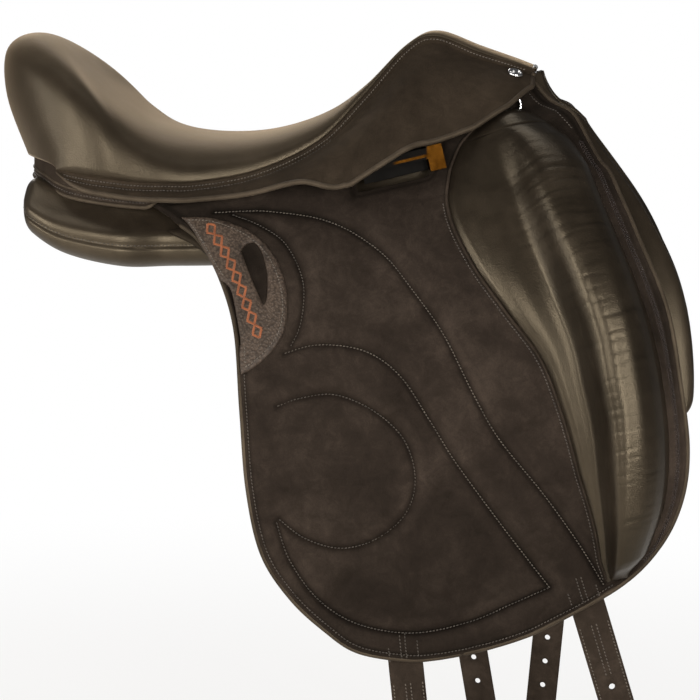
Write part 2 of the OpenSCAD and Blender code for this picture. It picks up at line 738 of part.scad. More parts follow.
// Stirrup bar
module stirrup_bar_right() {
  tongue_thick = bar_thick * tongue_share;
  color(brass) hinge_frame() union() {
    translate([bar_rear + tongue_length, bar_face_y, bar_z])
      cube([bar_length - tongue_length + 1, bar_thick, bar_height]);
    translate([bar_rear, bar_face_y, bar_z])
      cube([tongue_length + 1, tongue_thick, bar_height]);
    translate([catch_pin_x, bar_face_y, bar_z + bar_height / 2])
      rotate([-90, 0, 0]) cylinder(h = bar_thick, d = catch_pin_d);
    translate([bar_front, bar_face_y, bar_arm_z])
      cube([bar_arm, bar_base_y + bar_base_thick - bar_face_y, bar_arm_height]);
    translate([bar_rear, bar_base_y, bar_arm_z])
      cube([bar_length + 1, bar_base_thick, bar_arm_height]);
  }
}
module bar_catch_right() {
  free = bar_thick * (1 - tongue_share) - lie_gap;
  eye = bar_height / 2;
  color(brass) hinge_frame() translate([catch_pin_x, bar_face_y + bar_thick, bar_z + eye])
    rotate([90, 0, 0]) linear_extrude(free) difference() {
      union() {
        circle(r = eye - lie_gap / 2);
        translate([-catch_length, -eye + lie_gap / 2]) square([catch_length, 2 * eye - lie_gap]);
      }
      circle(r = catch_pin_d / 2 + pin_clearance);
    }
}
module bar_recess_right() {
  color(black_plastic) hinge_frame()
    translate([bar_rear - recess_lead, bar_face_y + bar_thick + bar_gap, recess_z])
      cube([bar_length + recess_lead - lie_gap, recess_thick, recess_height]);
}
module bar_rivets_right() {
  head = rivet_room - 2 * lie_gap;
  head_y = bar_base_y - head - lie_gap / 8;
  hinge_frame() for (x = [0.25, 0.75], z = [-6, 6])
    translate([bar_rear + bar_length * x, head_y, bar_z + bar_height / 2 + z])
      rotate([-90, 0, 0]) cylinder(h = head, d = rivet_head_d);
}
module bar_rivets() {
  color(steel) {
    bar_rivets_right();
    mirror([0, 1, 0]) bar_rivets_right();
  }
}

// Front ring, and the staple that holds it
ring_place = [0.955, 60, 36.5];
staple_wire = 2.5;
staple_mid_d = 8;
staple_plate = [10, 3, 10];
ring_top = [length_of(ring_place[0]), -ring_place[1], seat_height + ring_place[2]];
staple_middle = ring_top + [0, 0, staple_mid_d / 2 - ring_wire / 2 - staple_wire / 2 - lie_gap];
module front_ring_right() {
  color(steel) translate(ring_top - [0, 0, ring_mid_d / 2]) rotate([90, 0, 0])
    rotate_extrude($fn = 48) translate([ring_mid_d / 2, 0]) circle(d = ring_wire, $fn = 24);
}
module ring_staple_right() {
  color(steel) {
    translate(staple_middle) rotate([0, 90, 0])
      rotate_extrude($fn = 48) translate([staple_mid_d / 2, 0]) circle(d = staple_wire, $fn = 24);
    translate(staple_middle + [0, staple_mid_d / 2 + staple_plate[1] / 2 - 0.5, 0])
      cube(staple_plate, center = true);
  }
}

module left() { mirror([0, 1, 0]) children(); }

tree();
head_plate();
tree_rivets();
seat_webbing();
seat_foam();
seat_cover();
rear_facing();
pommel_facing();
pommel_studs();
bar_rivets();
seat_welt_right();
left() seat_welt_right();  // seat_welt_left
skirt_right();
left() skirt_right();  // skirt_left
panel_right();
left() panel_right();  // panel_left
front_roll_right();
left() front_roll_right();  // front_roll_left
flap_hanger_right();
left() flap_hanger_right();  // flap_hanger_left
stirrup_bar_right();
left() stirrup_bar_right();  // stirrup_bar_left
bar_recess_right();
left() bar_recess_right();  // bar_recess_left
bar_catch_right();
left() bar_catch_right();  // bar_catch_left
ring_staple_right();
left() ring_staple_right();  // ring_staple_left
front_ring_right();
left() front_ring_right();  // front_ring_left
flap_right();
left() flap_right();  // flap_left
flap_lining_right();
left() flap_lining_right();  // flap_lining_left
knee_block_right();
left() knee_block_right();  // knee_block_left
keeper_patch_right();
left() keeper_patch_right();  // keeper_patch_left
girth_webs_right();
left() girth_webs_left();
billet(billet_front_place, billet_front_tilt);  // billet_front_right
left() billet(left_front_place, left_front_tilt);  // billet_front_left
billet(billet_rear_place, billet_rear_tilt);  // billet_rear_right
left() billet(left_rear_place, left_rear_tilt);  // billet_rear_left
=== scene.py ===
import math

import bmesh
import bpy
import numpy as np
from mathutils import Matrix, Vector
from mathutils.geometry import delaunay_2d_cdt


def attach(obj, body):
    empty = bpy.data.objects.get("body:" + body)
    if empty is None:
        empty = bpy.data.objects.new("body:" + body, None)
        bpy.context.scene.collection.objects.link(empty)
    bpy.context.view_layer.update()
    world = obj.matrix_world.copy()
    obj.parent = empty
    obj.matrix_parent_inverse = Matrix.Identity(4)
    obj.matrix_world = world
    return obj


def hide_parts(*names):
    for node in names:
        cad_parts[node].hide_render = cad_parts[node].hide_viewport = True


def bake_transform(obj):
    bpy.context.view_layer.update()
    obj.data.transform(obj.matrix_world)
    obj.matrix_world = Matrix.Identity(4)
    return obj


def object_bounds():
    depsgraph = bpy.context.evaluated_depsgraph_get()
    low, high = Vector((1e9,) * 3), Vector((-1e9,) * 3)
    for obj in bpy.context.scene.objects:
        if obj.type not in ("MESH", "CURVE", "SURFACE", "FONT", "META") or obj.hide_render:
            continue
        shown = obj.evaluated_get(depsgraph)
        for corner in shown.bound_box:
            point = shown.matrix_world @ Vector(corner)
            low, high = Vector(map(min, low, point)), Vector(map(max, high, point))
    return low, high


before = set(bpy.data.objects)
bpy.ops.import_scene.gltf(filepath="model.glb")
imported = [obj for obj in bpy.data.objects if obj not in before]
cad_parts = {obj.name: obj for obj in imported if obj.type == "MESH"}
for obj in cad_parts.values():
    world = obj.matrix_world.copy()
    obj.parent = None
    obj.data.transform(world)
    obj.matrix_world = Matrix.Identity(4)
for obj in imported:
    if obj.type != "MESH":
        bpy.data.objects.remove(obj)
cad_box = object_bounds()

# Every shape below is worked out in millimetres and scaled once, when its mesh is made
MM = 0.001
SIDES = ("right", "left")
TINY = 1e-9

# Sizes of the saddle
SEAT_BACK, SEAT_FRONT = 216.0, 262.0
SEAT_HEIGHT, CANTLE_RISE, POMMEL_RISE = 115.0, 91.0, 93.0
SEAT_HALF_WIDTH, SEAM_DROP = 128.0, 41.0
SEAT_LEATHER, SEAT_FOAM, LIE_GAP = 3.0, 15.0, 0.4
WELT_D, SKIRT_LEATHER = 5.0, 4.0
FLAP_WIDTH, FLAP_DROP, FLAP_FLARE = 497.0, 434.0, 112.0
FLAP_THICK, LINING_THICK, WEB_GAP = 9.0, 2.5, 2.8
BLOCK_HEIGHT = 46.0
BILLET_WIDTH, BILLET_THICK, BILLET_LENGTH = 30.0, 4.0, 235.0
HOLE_D, HOLE_PITCH, FIRST_HOLE, HOLES = 5.5, 25.0, 74.0, 6


# Curves
def ease(t):
    """Smooth step from 0 to 1."""
    k = np.clip(t, 0, 1)
    return k * k * (3 - 2 * k)


def mix(a, b, t):
    return a + (b - a) * t


def bell(v, width, e=2):
    """1 where v is 0, fading over a width. A higher e gives a flatter top."""
    return np.exp(-(v / width) ** e)


def unit(v):
    v = np.asarray(v, float)
    return v / np.maximum(np.linalg.norm(v, axis=-1, keepdims=True), TINY)


def power(v, e):
    """Power that keeps the sign, to square off a circle."""
    return np.sign(v) * np.abs(v) ** e


def smoothed(line):
    """A line with each inner point drawn towards its neighbours."""
    return 0.25 * line[:-2] + 0.5 * line[1:-1] + 0.25 * line[2:]


def curve_at(rows, t):
    """Smooth curve through the rows of a list, at t = 0 .. len - 1."""
    rows, t = np.asarray(rows, float), np.asarray(t, float)
    n = len(rows)
    i = np.clip(np.floor(t).astype(int), 0, n - 2)
    f = (t - i)[..., None]
    a, b = rows[np.maximum(i - 1, 0)], rows[i]
    c, d = rows[i + 1], rows[np.minimum(i + 2, n - 1)]
    return b + 0.5 * f * (c - a + f * (2 * a - 5 * b + 4 * c - d + f * (3 * b - 3 * c + d - a)))


def lookup(rows, v):
    """Row of a list at the place v in its rising first column."""
    x, v = np.asarray(rows, float)[:, 0], np.asarray(v, float)
    i = np.clip(np.searchsorted(x, v, side="right") - 1, 0, len(x) - 2)
    return curve_at(rows, i + np.clip((v - x[i]) / (x[i + 1] - x[i]), 0, 1))


def spline(points, per=12):
    """Smooth line through a few points."""
    return curve_at(points, np.linspace(0, len(points) - 1, (len(points) - 1) * per + 1))


def arc(points):
    """Distance from the start of a line at each of its points."""
    return np.concatenate([[0], np.cumsum(np.linalg.norm(np.diff(points, axis=0), axis=1))])


def read_along(points, values, at):
    """Values given at the points of a line, read at some distances from its start."""
    run = arc(points)
    return np.stack([np.interp(at, run, values[:, k]) for k in range(values.shape[1])], 1)


def resample(points, step=None, count=None):
    """The same line with points at equal distances."""
    points = np.asarray(points, float)
    whole = arc(points)[-1]
    n = count or max(int(round(whole / step)) + 1, 2)
    return read_along(points, points, np.linspace(0, whole, n))


AT_ONCE = 4000


def distance(places, lines):
    """Distance of each 2-D place, in a list or a grid, to the nearest of some lines."""
    points = np.asarray(places, float).reshape(-1, 2)
    a = np.concatenate([np.asarray(line)[:-1] for line in lines])
    b = np.concatenate([np.asarray(line)[1:] for line in lines])
    run = b - a
    length = np.maximum((run ** 2).sum(1), TINY)
    best = np.empty(len(points))
    for k in range(0, len(points), AT_ONCE):
        p = points[k:k + AT_ONCE, None, :]
        t = np.clip(((p - a) * run).sum(2) / length, 0, 1)
        best[k:k + AT_ONCE] = np.sqrt((((p - a) - t[..., None] * run) ** 2).sum(2).min(1))
    return best.reshape(np.shape(places)[:-1])


# Seat rows from cantle to pommel, as shares: place and height of the top, then place, half width and level of
# the seam
SEAT_ROWS = [
    [-0.89, -0.19, -0.69, 0.88, -0.80], [-0.98, 0.38, -0.65, 0.92, -0.84], [-0.98, 0.84, -0.60, 0.95, -0.90],
    [-0.87, 1.00, -0.54, 0.98, -0.95], [-0.73, 0.86, -0.46, 1.00, -1.00], [-0.57, 0.48, -0.36, 0.99, -1.06],
    [-0.36, 0.14, -0.24, 0.97, -1.07], [-0.14, 0.01, -0.10, 0.91, -1.03], [0.11, 0.03, 0.11, 0.81, -0.74],
    [0.32, 0.22, 0.31, 0.69, -0.12], [0.48, 0.54, 0.45, 0.55, 0.29], [0.61, 0.90, 0.59, 0.38, 0.72],
    [0.70, 1.00, 0.69, 0.30, 0.86], [0.84, 0.86, 0.84, 0.33, 0.74], [1.00, 0.66, 1.00, 0.38, 0.61],
]
# Where the sewn seam departs from the plain shell, row by row: shares of the half width and of the height
SEAM_SHIFT = [
    [0, 0.10], [0, 0.12], [0, 0.13], [0, 0.13], [0, 0.13], [0, 0.13], [0, 0.12], [0, 0.09], [0, 0.03],
    [0, 0.02], [-0.03, 0.07], [-0.06, 0.10], [-0.07, 0.09], [-0.06, 0.06], [-0.02, 0.02],
]
FIRST_FRONT_ROW = 8
SEAT_LAST = len(SEAT_ROWS) - 1
SEAT_SQUARE, SEAT_SWEEP = 0.78, 2.2
TOP_STEP, SEAM_STEP = 0.3, 0.2
FRONT_REACH, REACH_START = 9.0, 215.0
WELT_DROP = WELT_D / 2 + LIE_GAP
WELT_IN = np.array([0, WELT_D / 2, 0])


def length_of(share):
    return share * np.where(np.asarray(share) < 0, SEAT_BACK, SEAT_FRONT)


def seat_row(i, sewn):
    """One row in millimetres, on the plain shell or at the sewn seam."""
    top_x, top_z, seam_x, half, level = SEAT_ROWS[i]
    out, lift = SEAM_SHIFT[i] if sewn else (0, 0)
    rise = CANTLE_RISE if i < FIRST_FRONT_ROW else POMMEL_RISE
    tall = SEAM_DROP if level < 0 else POMMEL_RISE
    return [
        float(length_of(top_x)), SEAT_HEIGHT + top_z * rise, float(length_of(seam_x)),
        (half + out) * SEAT_HALF_WIDTH, SEAT_HEIGHT + level * tall + lift * tall,
    ]


SEAT_SHELL = np.array([seat_row(i, False) for i in range(len(SEAT_ROWS))])
SEAT_CONTROL = np.array([seat_row(i, True) for i in range(len(SEAT_ROWS))])


def reach(x):
    """Carries the pommel end of seat and skirt a little further forward, over the front leather."""
    return x + FRONT_REACH * ease((x - REACH_START) / (SEAT_FRONT - REACH_START))


def across_row(curve, u, step):
    """Change of a curve over the rows from u - step to u + step."""
    return curve(np.minimum(u + step, SEAT_LAST)) - curve(np.maximum(u - step, 0))


def control_at(u):
    return curve_at(SEAT_CONTROL, u)


def seat_point(u, a, depth):
    """Point of the seat at row u and turn a in degrees, -90 at the right seam, a depth below its face."""
    u, a = np.broadcast_arrays(np.asarray(u, float), np.asarray(a, float))
    r = control_at(u)
    t = across_row(control_at, u, TOP_STEP)
    inward = unit(np.stack([t[..., 1], -t[..., 0]], -1)) * depth
    turn = np.radians(a)
    sine, cosine = np.abs(np.sin(turn)), np.clip(np.cos(turn), 0, 1)
    x = mix(r[..., 0] + inward[..., 0], r[..., 2], sine ** SEAT_SWEEP)
    y = np.sign(a) * (r[..., 3] - depth) * sine ** SEAT_SQUARE
    z = mix(r[..., 4], r[..., 1] + inward[..., 1], cosine ** SEAT_SQUARE)
    return np.stack([reach(x), y, z], -1)


def seam_point(u):
    r = control_at(u)
    return np.stack([reach(r[..., 2]), -r[..., 3], r[..., 4]], -1)


def seam_down(u):
    """Direction square to the seam, downwards in the side view."""
    t = across_row(seam_point, u, SEAM_STEP)
    return unit(np.stack([t[..., 2], 0 * t[..., 0], -t[..., 0]], -1))


# Skirt rows: place along the seat as a share, and how far the skirt reaches out and down from the seam there
SKIRT_ROWS = [
    [-0.69, 4, 4], [-0.50, 5, 6], [-0.30, 8, 7], [-0.08, 14, 7], [0.10, 22, 10], [0.26, 38, 18],
    [0.40, 59, 49], [0.47, 68, 58], [0.57, 73, 71], [0.70, 69, 77], [0.84, 54, 54], [0.93, 38, 28],
    [1.00, 12, 6],
]
SKIRT_BULGE, FULL_BULGE_DROP, BAND_BULGE, BAND_IN = 9.0, 40, 0.7, 0.4
SKIRT_TAPER, SKIRT_POINT, SHIFT_START = 3.2, 0.04, 8.5


def skirt_spread(u):
    """How far the skirt reaches out and down from the seam, and its size, which runs out at the rear."""
    u = np.asarray(u, float)
    x = control_at(u)[..., 2]
    r = lookup(SKIRT_ROWS, x / np.where(x < 0, SEAT_BACK, SEAT_FRONT))
    size = mix(SKIRT_POINT, 1, np.sin(np.pi / 2 * np.clip(u / SKIRT_TAPER, 0, 1)))
    shift = (control_at(u) - curve_at(SEAT_SHELL, u)) * ease(u - SHIFT_START)[..., None]
    return (r[..., 1] + WELT_D / 2) * size - shift[..., 3], r[..., 2] * size + shift[..., 4], size


def skirt_point(u, below, depth):
    """Point of the skirt a distance below the seat's seam, as a share from 0 at the seam to 1 at its edge."""
    u, below = np.broadcast_arrays(np.asarray(u, float), np.asarray(below, float))
    out, drop, size = skirt_spread(u)
    zero = 0 * out
    band = 2 * WELT_DROP * size
    whole = band + np.hypot(out, drop)
    w = np.clip((below * whole - band) / (whole - band), 0, 1)
    fall = np.clip(below * whole / band, 0, 1)
    inward = unit(np.stack([zero, drop + 0.5, -out], -1))
    bulge = SKIRT_BULGE * np.sin(np.pi * w) * ease(drop / FULL_BULGE_DROP) + BAND_BULGE * np.sin(np.pi * fall)
    top = seam_point(u) + (fall * size)[..., None] * (BAND_IN * WELT_IN + 2 * WELT_DROP * seam_down(u))
    return top + np.stack([zero, -out * w, -drop * w], -1) + inward * (depth - bulge)[..., None]


# Flap frame: s along the hinge line, d straight down, h out from the flap's face
HINGE_REAR = np.array([-72.0, -SEAT_HALF_WIDTH + 2, SEAT_HEIGHT - 73])
HINGE_FRONT = np.array([SEAT_FRONT + 27, -72.0, SEAT_HEIGHT + 13])
HINGE_ALONG = unit(HINGE_FRONT - HINGE_REAR)
HINGE_YAW = math.atan2(HINGE_ALONG[1], HINGE_ALONG[0])
FLARE_LENGTH, FLARE_POWER, UPPER_SLOPE = 125.0, 1.25, 0.35


def flare_at(d):
    """How far the flap stands out at a depth d."""
    d = np.asarray(d, float)
    lower = FLAP_FLARE * (1 - np.exp(-(np.maximum(d, 0) / FLARE_LENGTH) ** FLARE_POWER))
    return np.where(d < 0, UPPER_SLOPE * d, lower)


def flap_out(d):
    """Outward direction of the flap's face at a depth d."""
    d = np.asarray(d, float)
    slope = flare_at(d + 0.5) - flare_at(d - 0.5)
    return unit(np.stack([0 * d, -1 + 0 * d, slope], -1))


def flap_point(s, d, h):
    s, d, h = np.broadcast_arrays(np.asarray(s, float), np.asarray(d, float), np.asarray(h, float))
    place = HINGE_REAR + s[..., None] * HINGE_ALONG + np.stack([0 * d, -flare_at(d), -d], -1)
    return place + h[..., None] * flap_out(d)


def over_flap(places, h):
    """Points at a height h over places (s, d) on the flap."""
    return flap_point(places[..., 0], places[..., 1], h)


# Flap outline: its rear and its front edge from the top to the middle of the bottom
REAR_EDGE = [
    (8, -14), (18, -6), (31, 5), (55, 26), (77, 61), (94, 109), (102, 178), (109, 247), (122, 304),
    (147, 348), (177, 383), (206, 409), (249, 427), (274, 432), (299, 434),
]
FRONT_EDGE = [
    (352, -14), (364, 0), (377, 10), (393, 20), (406, 35), (417, 48), (429, 61), (450, 109), (477, 178),
    (490, 247), (497, 304), (492, 347), (473, 382), (438, 408), (373, 428), (348, 432.5), (323, 434),
]
FLAP_TOP = REAR_EDGE[0][1] / FLAP_DROP
NOTCH_REAR, NOTCH_FRONT, NOTCH_BLEND, NOTCH_DROP = 0.375, 0.525, 0.025, 32.0
FRONT_RISE, FRONT_RISE_START, FRONT_RISE_END, TOP_FADE = 36.0, 0.56, 0.65, 0.20
EDGE_CLOSER = 0.14


def top_shift(share):
    notch = ease((share - NOTCH_REAR) / NOTCH_BLEND) - ease((share - NOTCH_FRONT) / NOTCH_BLEND)
    rise = ease((share - FRONT_RISE_START) / (FRONT_RISE_END - FRONT_RISE_START))
    return NOTCH_DROP * notch - FRONT_RISE * rise


def raised(p):
    """Moves places near the flap's top: down at the stirrup bar and up at the pommel."""
    p = np.array(p, float)
    fade = 1 - ease((p[..., 1] / FLAP_DROP - FLAP_TOP) / TOP_FADE)
    p[..., 1] += top_shift(p[..., 0] / FLAP_WIDTH) * fade
    return p


def flap_sides(count):
    """Points of the rear and of the front edge, at equal distances from top to bottom."""
    return [resample(spline(edge), count=count) for edge in (REAR_EDGE, FRONT_EDGE)]


def flap_places(rows, columns):
    """Grid of places on the flap, closer together near its edges."""
    rear, front = flap_sides(rows)
    t = np.linspace(0, 1, columns)
    t = t - EDGE_CLOSER * np.sin(2 * np.pi * t) / (2 * np.pi)
    return raised(mix(rear[:, None, :], front[:, None, :], t[None, :, None]))


def loop_of(p):
    """Closed outline of a grid of places."""
    return np.concatenate([p[:, 0], p[-1, 1:], p[-2::-1, -1], p[0, -2::-1]])


# Sewn lines on the flap, in s and d
CIRCLE = spline([(133, 181), (153, 179), (184, 183), (219, 205), (246, 236), (256, 272), (247, 300),
                 (221, 315), (190, 315), (159, 299), (136, 277)])
CRESCENT = spline([(134, 279), (146, 315), (172, 356), (208, 386), (256, 405), (305, 407), (340, 401),
                   (376, 394)])
LINE_A = spline([(138, 138), (169, 138), (209, 152), (241, 180), (268, 224), (290, 263), (322, 313),
                 (349, 354), (376, 394)])
LINE_B = spline([(67, 6), (117, 16), (173, 37), (220, 72), (252, 113), (280, 156), (307, 212), (330, 255),
                 (370, 312), (402, 363), (424, 403)])
LINE_C = spline([(296, 166), (322, 219), (346, 262), (385, 320), (412, 362)])
PATCH_RIM = spline([(83, 11), (111, 27), (135, 48), (152, 82), (152, 115), (144, 133)])
TOP_ROW = spline([(345, -43), (360, -24), (377, -9), (392, 10)])
DROP_MIDDLE = np.array([(101, 48), (110, 62), (116, 84)], float)
SLIT = spline([(86, 72), (92, 86), (97, 103), (99, 120)])
QUILT = [CIRCLE, CRESCENT, LINE_A, LINE_B, PATCH_RIM]
FLAP_FINE = flap_places(290, 290)
FLAP_LOOP = loop_of(FLAP_FINE)
FLAP_OUTLINE = resample(FLAP_LOOP, step=4)
# Dents along lines on the flap. Each has a depth, a distance from the line, a width and the power of its bell
DENTS = [
    (QUILT, [(3.0, 0, 9, 2), (2.0, 0, 2.1, 2)]), ([LINE_C], [(0.5, 0, 2, 2)]),
    ([FLAP_OUTLINE], [(2.2, 0, 9, 2), (0.9, 4.5, 1.5, 2)]),
    ([DROP_MIDDLE], [(1.8, 0, 7, 4)]), ([SLIT], [(3.0, 0, 2.6, 4)]),
]
# Painted shade along the same lines, by the flap's edge and in the drop, and a painted highlight on the
# padding beside the quilting
PAINTED_SHADING = [
    (QUILT, [(-0.16, 9, 5, 2), (0.5, 0, 2.4, 2)]), ([LINE_C], [(0.16, 0, 2.4, 2)]),
    ([FLAP_OUTLINE], [(0.30, 5, 2.2, 2)]), ([DROP_MIDDLE], [(0.4, 0, 9, 4)]),
]
PADDED, EDGE_ROUND, TOP_SINK = 1.6, 4.0, 14.0
# Painted shading of the flap: its plain level, a painted highlight on the low front rim, painted shadow at
# the top, and darker low down
UNSHADED, RIM_HIGHLIGHT, TOP_SHADOW, LOW_DARK = 0.94, 0.9, 0.42, 0.32


def pressed(places, dents):
    """Sum of some dents, or of painted shading, at places on the flap."""
    total = 0
    for lines, bells in dents:
        away = distance(places, lines)
        for depth, at, width, e in bells:
            total = total + depth * bell(away - at, width, e)
    return total


def top_inside(places):
    """Share by which the flap's top front corner turns in, behind the front ring."""
    return ease((-6 - places[..., 1]) / 20) * ease((places[..., 0] - 300) / 20)


def flap_height(places):
    """Height of the padded flap over its plain face, pressed in along its seams and rounded at its edge."""
    s, d = places[..., 0], places[..., 1]
    wave = 0.35 * np.sin(0.045 * s + 0.02 * d + 1) * np.sin(0.05 * d - 0.013 * s)
    wave += 0.2 * np.sin(0.11 * s + 2) * np.sin(0.093 * d + 0.5)
    h = PADDED + wave - pressed(places, DENTS) - TOP_SINK * top_inside(places)
    inward = np.clip(distance(places, [FLAP_OUTLINE]) / EDGE_ROUND, 0, 1)
    return h - EDGE_ROUND * (1 - np.sqrt(1 - (1 - inward) ** 2))


def flap_shade(places):
    """How light the nubuck is: painted shade in its seams, painted shadow at the top under the skirt, a
    painted highlight on the low front rim, and darker low down.
    """
    s, d = places[..., 0], places[..., 1]
    # Painted highlight on the low front rim, beyond the knee block
    rim = RIM_HIGHLIGHT * ease((s - 440) / 40) * ease((d - 220) / 100)
    shade = UNSHADED - pressed(places, PAINTED_SHADING) + rim
    # Painted shadow under the skirt at the top, and darker low down
    return shade - TOP_SHADOW * ease(1 - d / 90) - LOW_DARK * ease((d - 270) / 120)


def on_flap(line):
    """Points and outward directions along a line of places on the padded flap."""
    line = np.asarray(line, float)
    return over_flap(line, flap_height(line)), flap_out(line[:, 1])


# Mesh building
def grid_faces(n, m, close=False):
    i, j = np.arange(n - 1)[:, None], np.arange(m if close else m - 1)[None, :]
    a, b = i * m + j, i * m + (j + 1) % m
    return np.stack([a, b, b + m, a + m], -1).reshape(-1, 4).tolist()


def leaf(outer, inner):
    """Closed leaf between two grids of points."""
    n, m = outer.shape[:2]
    size = n * m
    faces = grid_faces(n, m)
    faces += [[size + q[3], size + q[2], size + q[1], size + q[0]] for q in grid_faces(n, m)]
    index = np.arange(size).reshape(n, m)
    loop = np.concatenate([index[0, :-1], index[:-1, -1], index[-1, :0:-1], index[:0:-1, 0]])
    after = np.roll(loop, -1)
    faces += np.stack([after, loop, loop + size, after + size], -1).tolist()
    return np.concatenate([outer.reshape(-1, 3), inner.reshape(-1, 3)]), faces


def loft(rings):
    """Closed body through a row of rings."""
    n, m = rings.shape[:2]
    verts = np.concatenate([rings.reshape(-1, 3), rings[0].mean(0)[None], rings[-1].mean(0)[None]])
    faces = grid_faces(n, m, True)
    faces += [[n * m, (j + 1) % m, j] for j in range(m)]
    faces += [[n * m + 1, (n - 1) * m + j, (n - 1) * m + (j + 1) % m] for j in range(m)]
    return verts, faces


def join(shapes):
    verts, faces, start = [], [], 0
    for v, f in shapes:
        verts.append(v)
        faces += [[q + start for q in face] for face in f]
        start += len(v)
    return np.concatenate(verts), faces


# A direction that no tube or turned piece runs along, to start its rings from
TUBE_START, LATHE_START = [0.3, 0.2, 0.93], [0.2, 0.1, 0.97]


def turns(count):
    """Angles of a ring of points."""
    return 2 * np.pi * np.arange(count) / count


def tube(path, radius, sides=10):
    """Round cord along a path, without twist, with half its radius at the ends."""
    along = unit(np.gradient(path, axis=0))
    side = [unit(np.cross(along[0], TUBE_START))]
    for k in range(1, len(path)):
        side.append(unit(side[-1] - along[k] * (side[-1] @ along[k])))
    side = np.array(side)
    top = np.cross(along, side)
    r = np.array(np.broadcast_to(radius, len(path)), float)
    r[[0, -1]] *= 0.5
    a = turns(sides)
    ring = side[:, None] * np.cos(a)[None, :, None] + top[:, None] * np.sin(a)[None, :, None]
    return loft(path[:, None] + r[:, None, None] * ring)


def lathe(profile, centre, axis, steps=40):
    """Turned piece from radius and height pairs."""
    axis = unit(axis)
    side = unit(np.cross(axis, LATHE_START))
    a = turns(steps)
    ring = side * np.cos(a)[:, None] + np.cross(axis, side) * np.sin(a)[:, None]
    return loft(np.array([centre + r * ring + z * axis for r, z in profile]))


# One stitch: rings at shares of its half length, with shares of its radius, between two pointed ends
STITCH_RINGS = [(-0.72, 0.8), (0.0, 1.0), (0.72, 0.8)]
STITCH_SIDES, STITCH_STEP = 6, 0.4
ROPE_HALF, ROPE_LEAN = 1.2, 40.0


def one_stitch():
    """Points of a stitch along x, and its faces."""
    k, points = STITCH_SIDES, [(-1.0, 0.0, 0.0)]
    for x, r in STITCH_RINGS:
        points += [(x, r * math.cos(t), r * math.sin(t)) for t in turns(k)]
    points.append((1.0, 0.0, 0.0))
    faces = [[0, 1 + (j + 1) % k, 1 + j] for j in range(k)]
    for ring in range(len(STITCH_RINGS) - 1):
        base = 1 + ring * k
        faces += [[base + j, base + (j + 1) % k, base + k + (j + 1) % k, base + k + j] for j in range(k)]
    base, end = 1 + (len(STITCH_RINGS) - 1) * k, len(points) - 1
    return np.array(points), faces + [[end, base + j, base + (j + 1) % k] for j in range(k)]


def sew(points, normals, pitch=3.0, length=2.1, radius=0.5, lean=10.0, lift=0.1):
    """A row of short round stitches along a line on a surface, each turned by lean degrees."""
    at = np.arange(pitch / 2, arc(points)[-1], pitch)
    up = unit(read_along(points, normals, at))
    middle = read_along(points, points, at) + lift * up
    ahead = unit(read_along(points, points, at + STITCH_STEP) - read_along(points, points, at - STITCH_STEP))
    turn = math.radians(lean)
    ahead = math.cos(turn) * ahead + math.sin(turn) * unit(np.cross(up, ahead))
    across = np.cross(up, ahead)
    local, one = one_stitch()
    local = local[None] * [length / 2, radius, radius]
    verts = middle[:, None] + local[..., 0:1] * ahead[:, None] + local[..., 1:2] * across[:, None]
    verts = verts + local[..., 2:3] * up[:, None]
    faces = [[q + n * local.shape[1] for q in f] for n in range(len(middle)) for f in one]
    return verts.reshape(-1, 3), faces


def zigzag(points, normals):
    """Two rows of slanted stitches that make a rope along a line."""
    across = ROPE_HALF * unit(np.cross(unit(normals), np.gradient(points, axis=0)))
    sizes = {"pitch": 2.4, "length": 3.6}
    return join([sew(points + k * across, normals, lean=k * ROPE_LEAN, **sizes) for k in (-1, 1)])


def inside(points, loop):
    """Which 2-D points lie in a closed loop."""
    found = np.zeros(len(points), bool)
    for p, q in zip(loop, np.roll(loop, -1, axis=0)):
        crosses = (p[1] > points[:, 1]) != (q[1] > points[:, 1])
        if p[1] != q[1]:
            x = p[0] + (points[:, 1] - p[1]) * (q[0] - p[0]) / (q[1] - p[1])
            found ^= crosses & (points[:, 0] < x)
    return found


def within(points, loops):
    """Which 2-D points lie in the first loop and in none of the others, its holes."""
    found = inside(points, loops[0])
    for hole in loops[1:]:
        found &= ~inside(points, hole)
    return found


MERGE_WITHIN = 1e-5


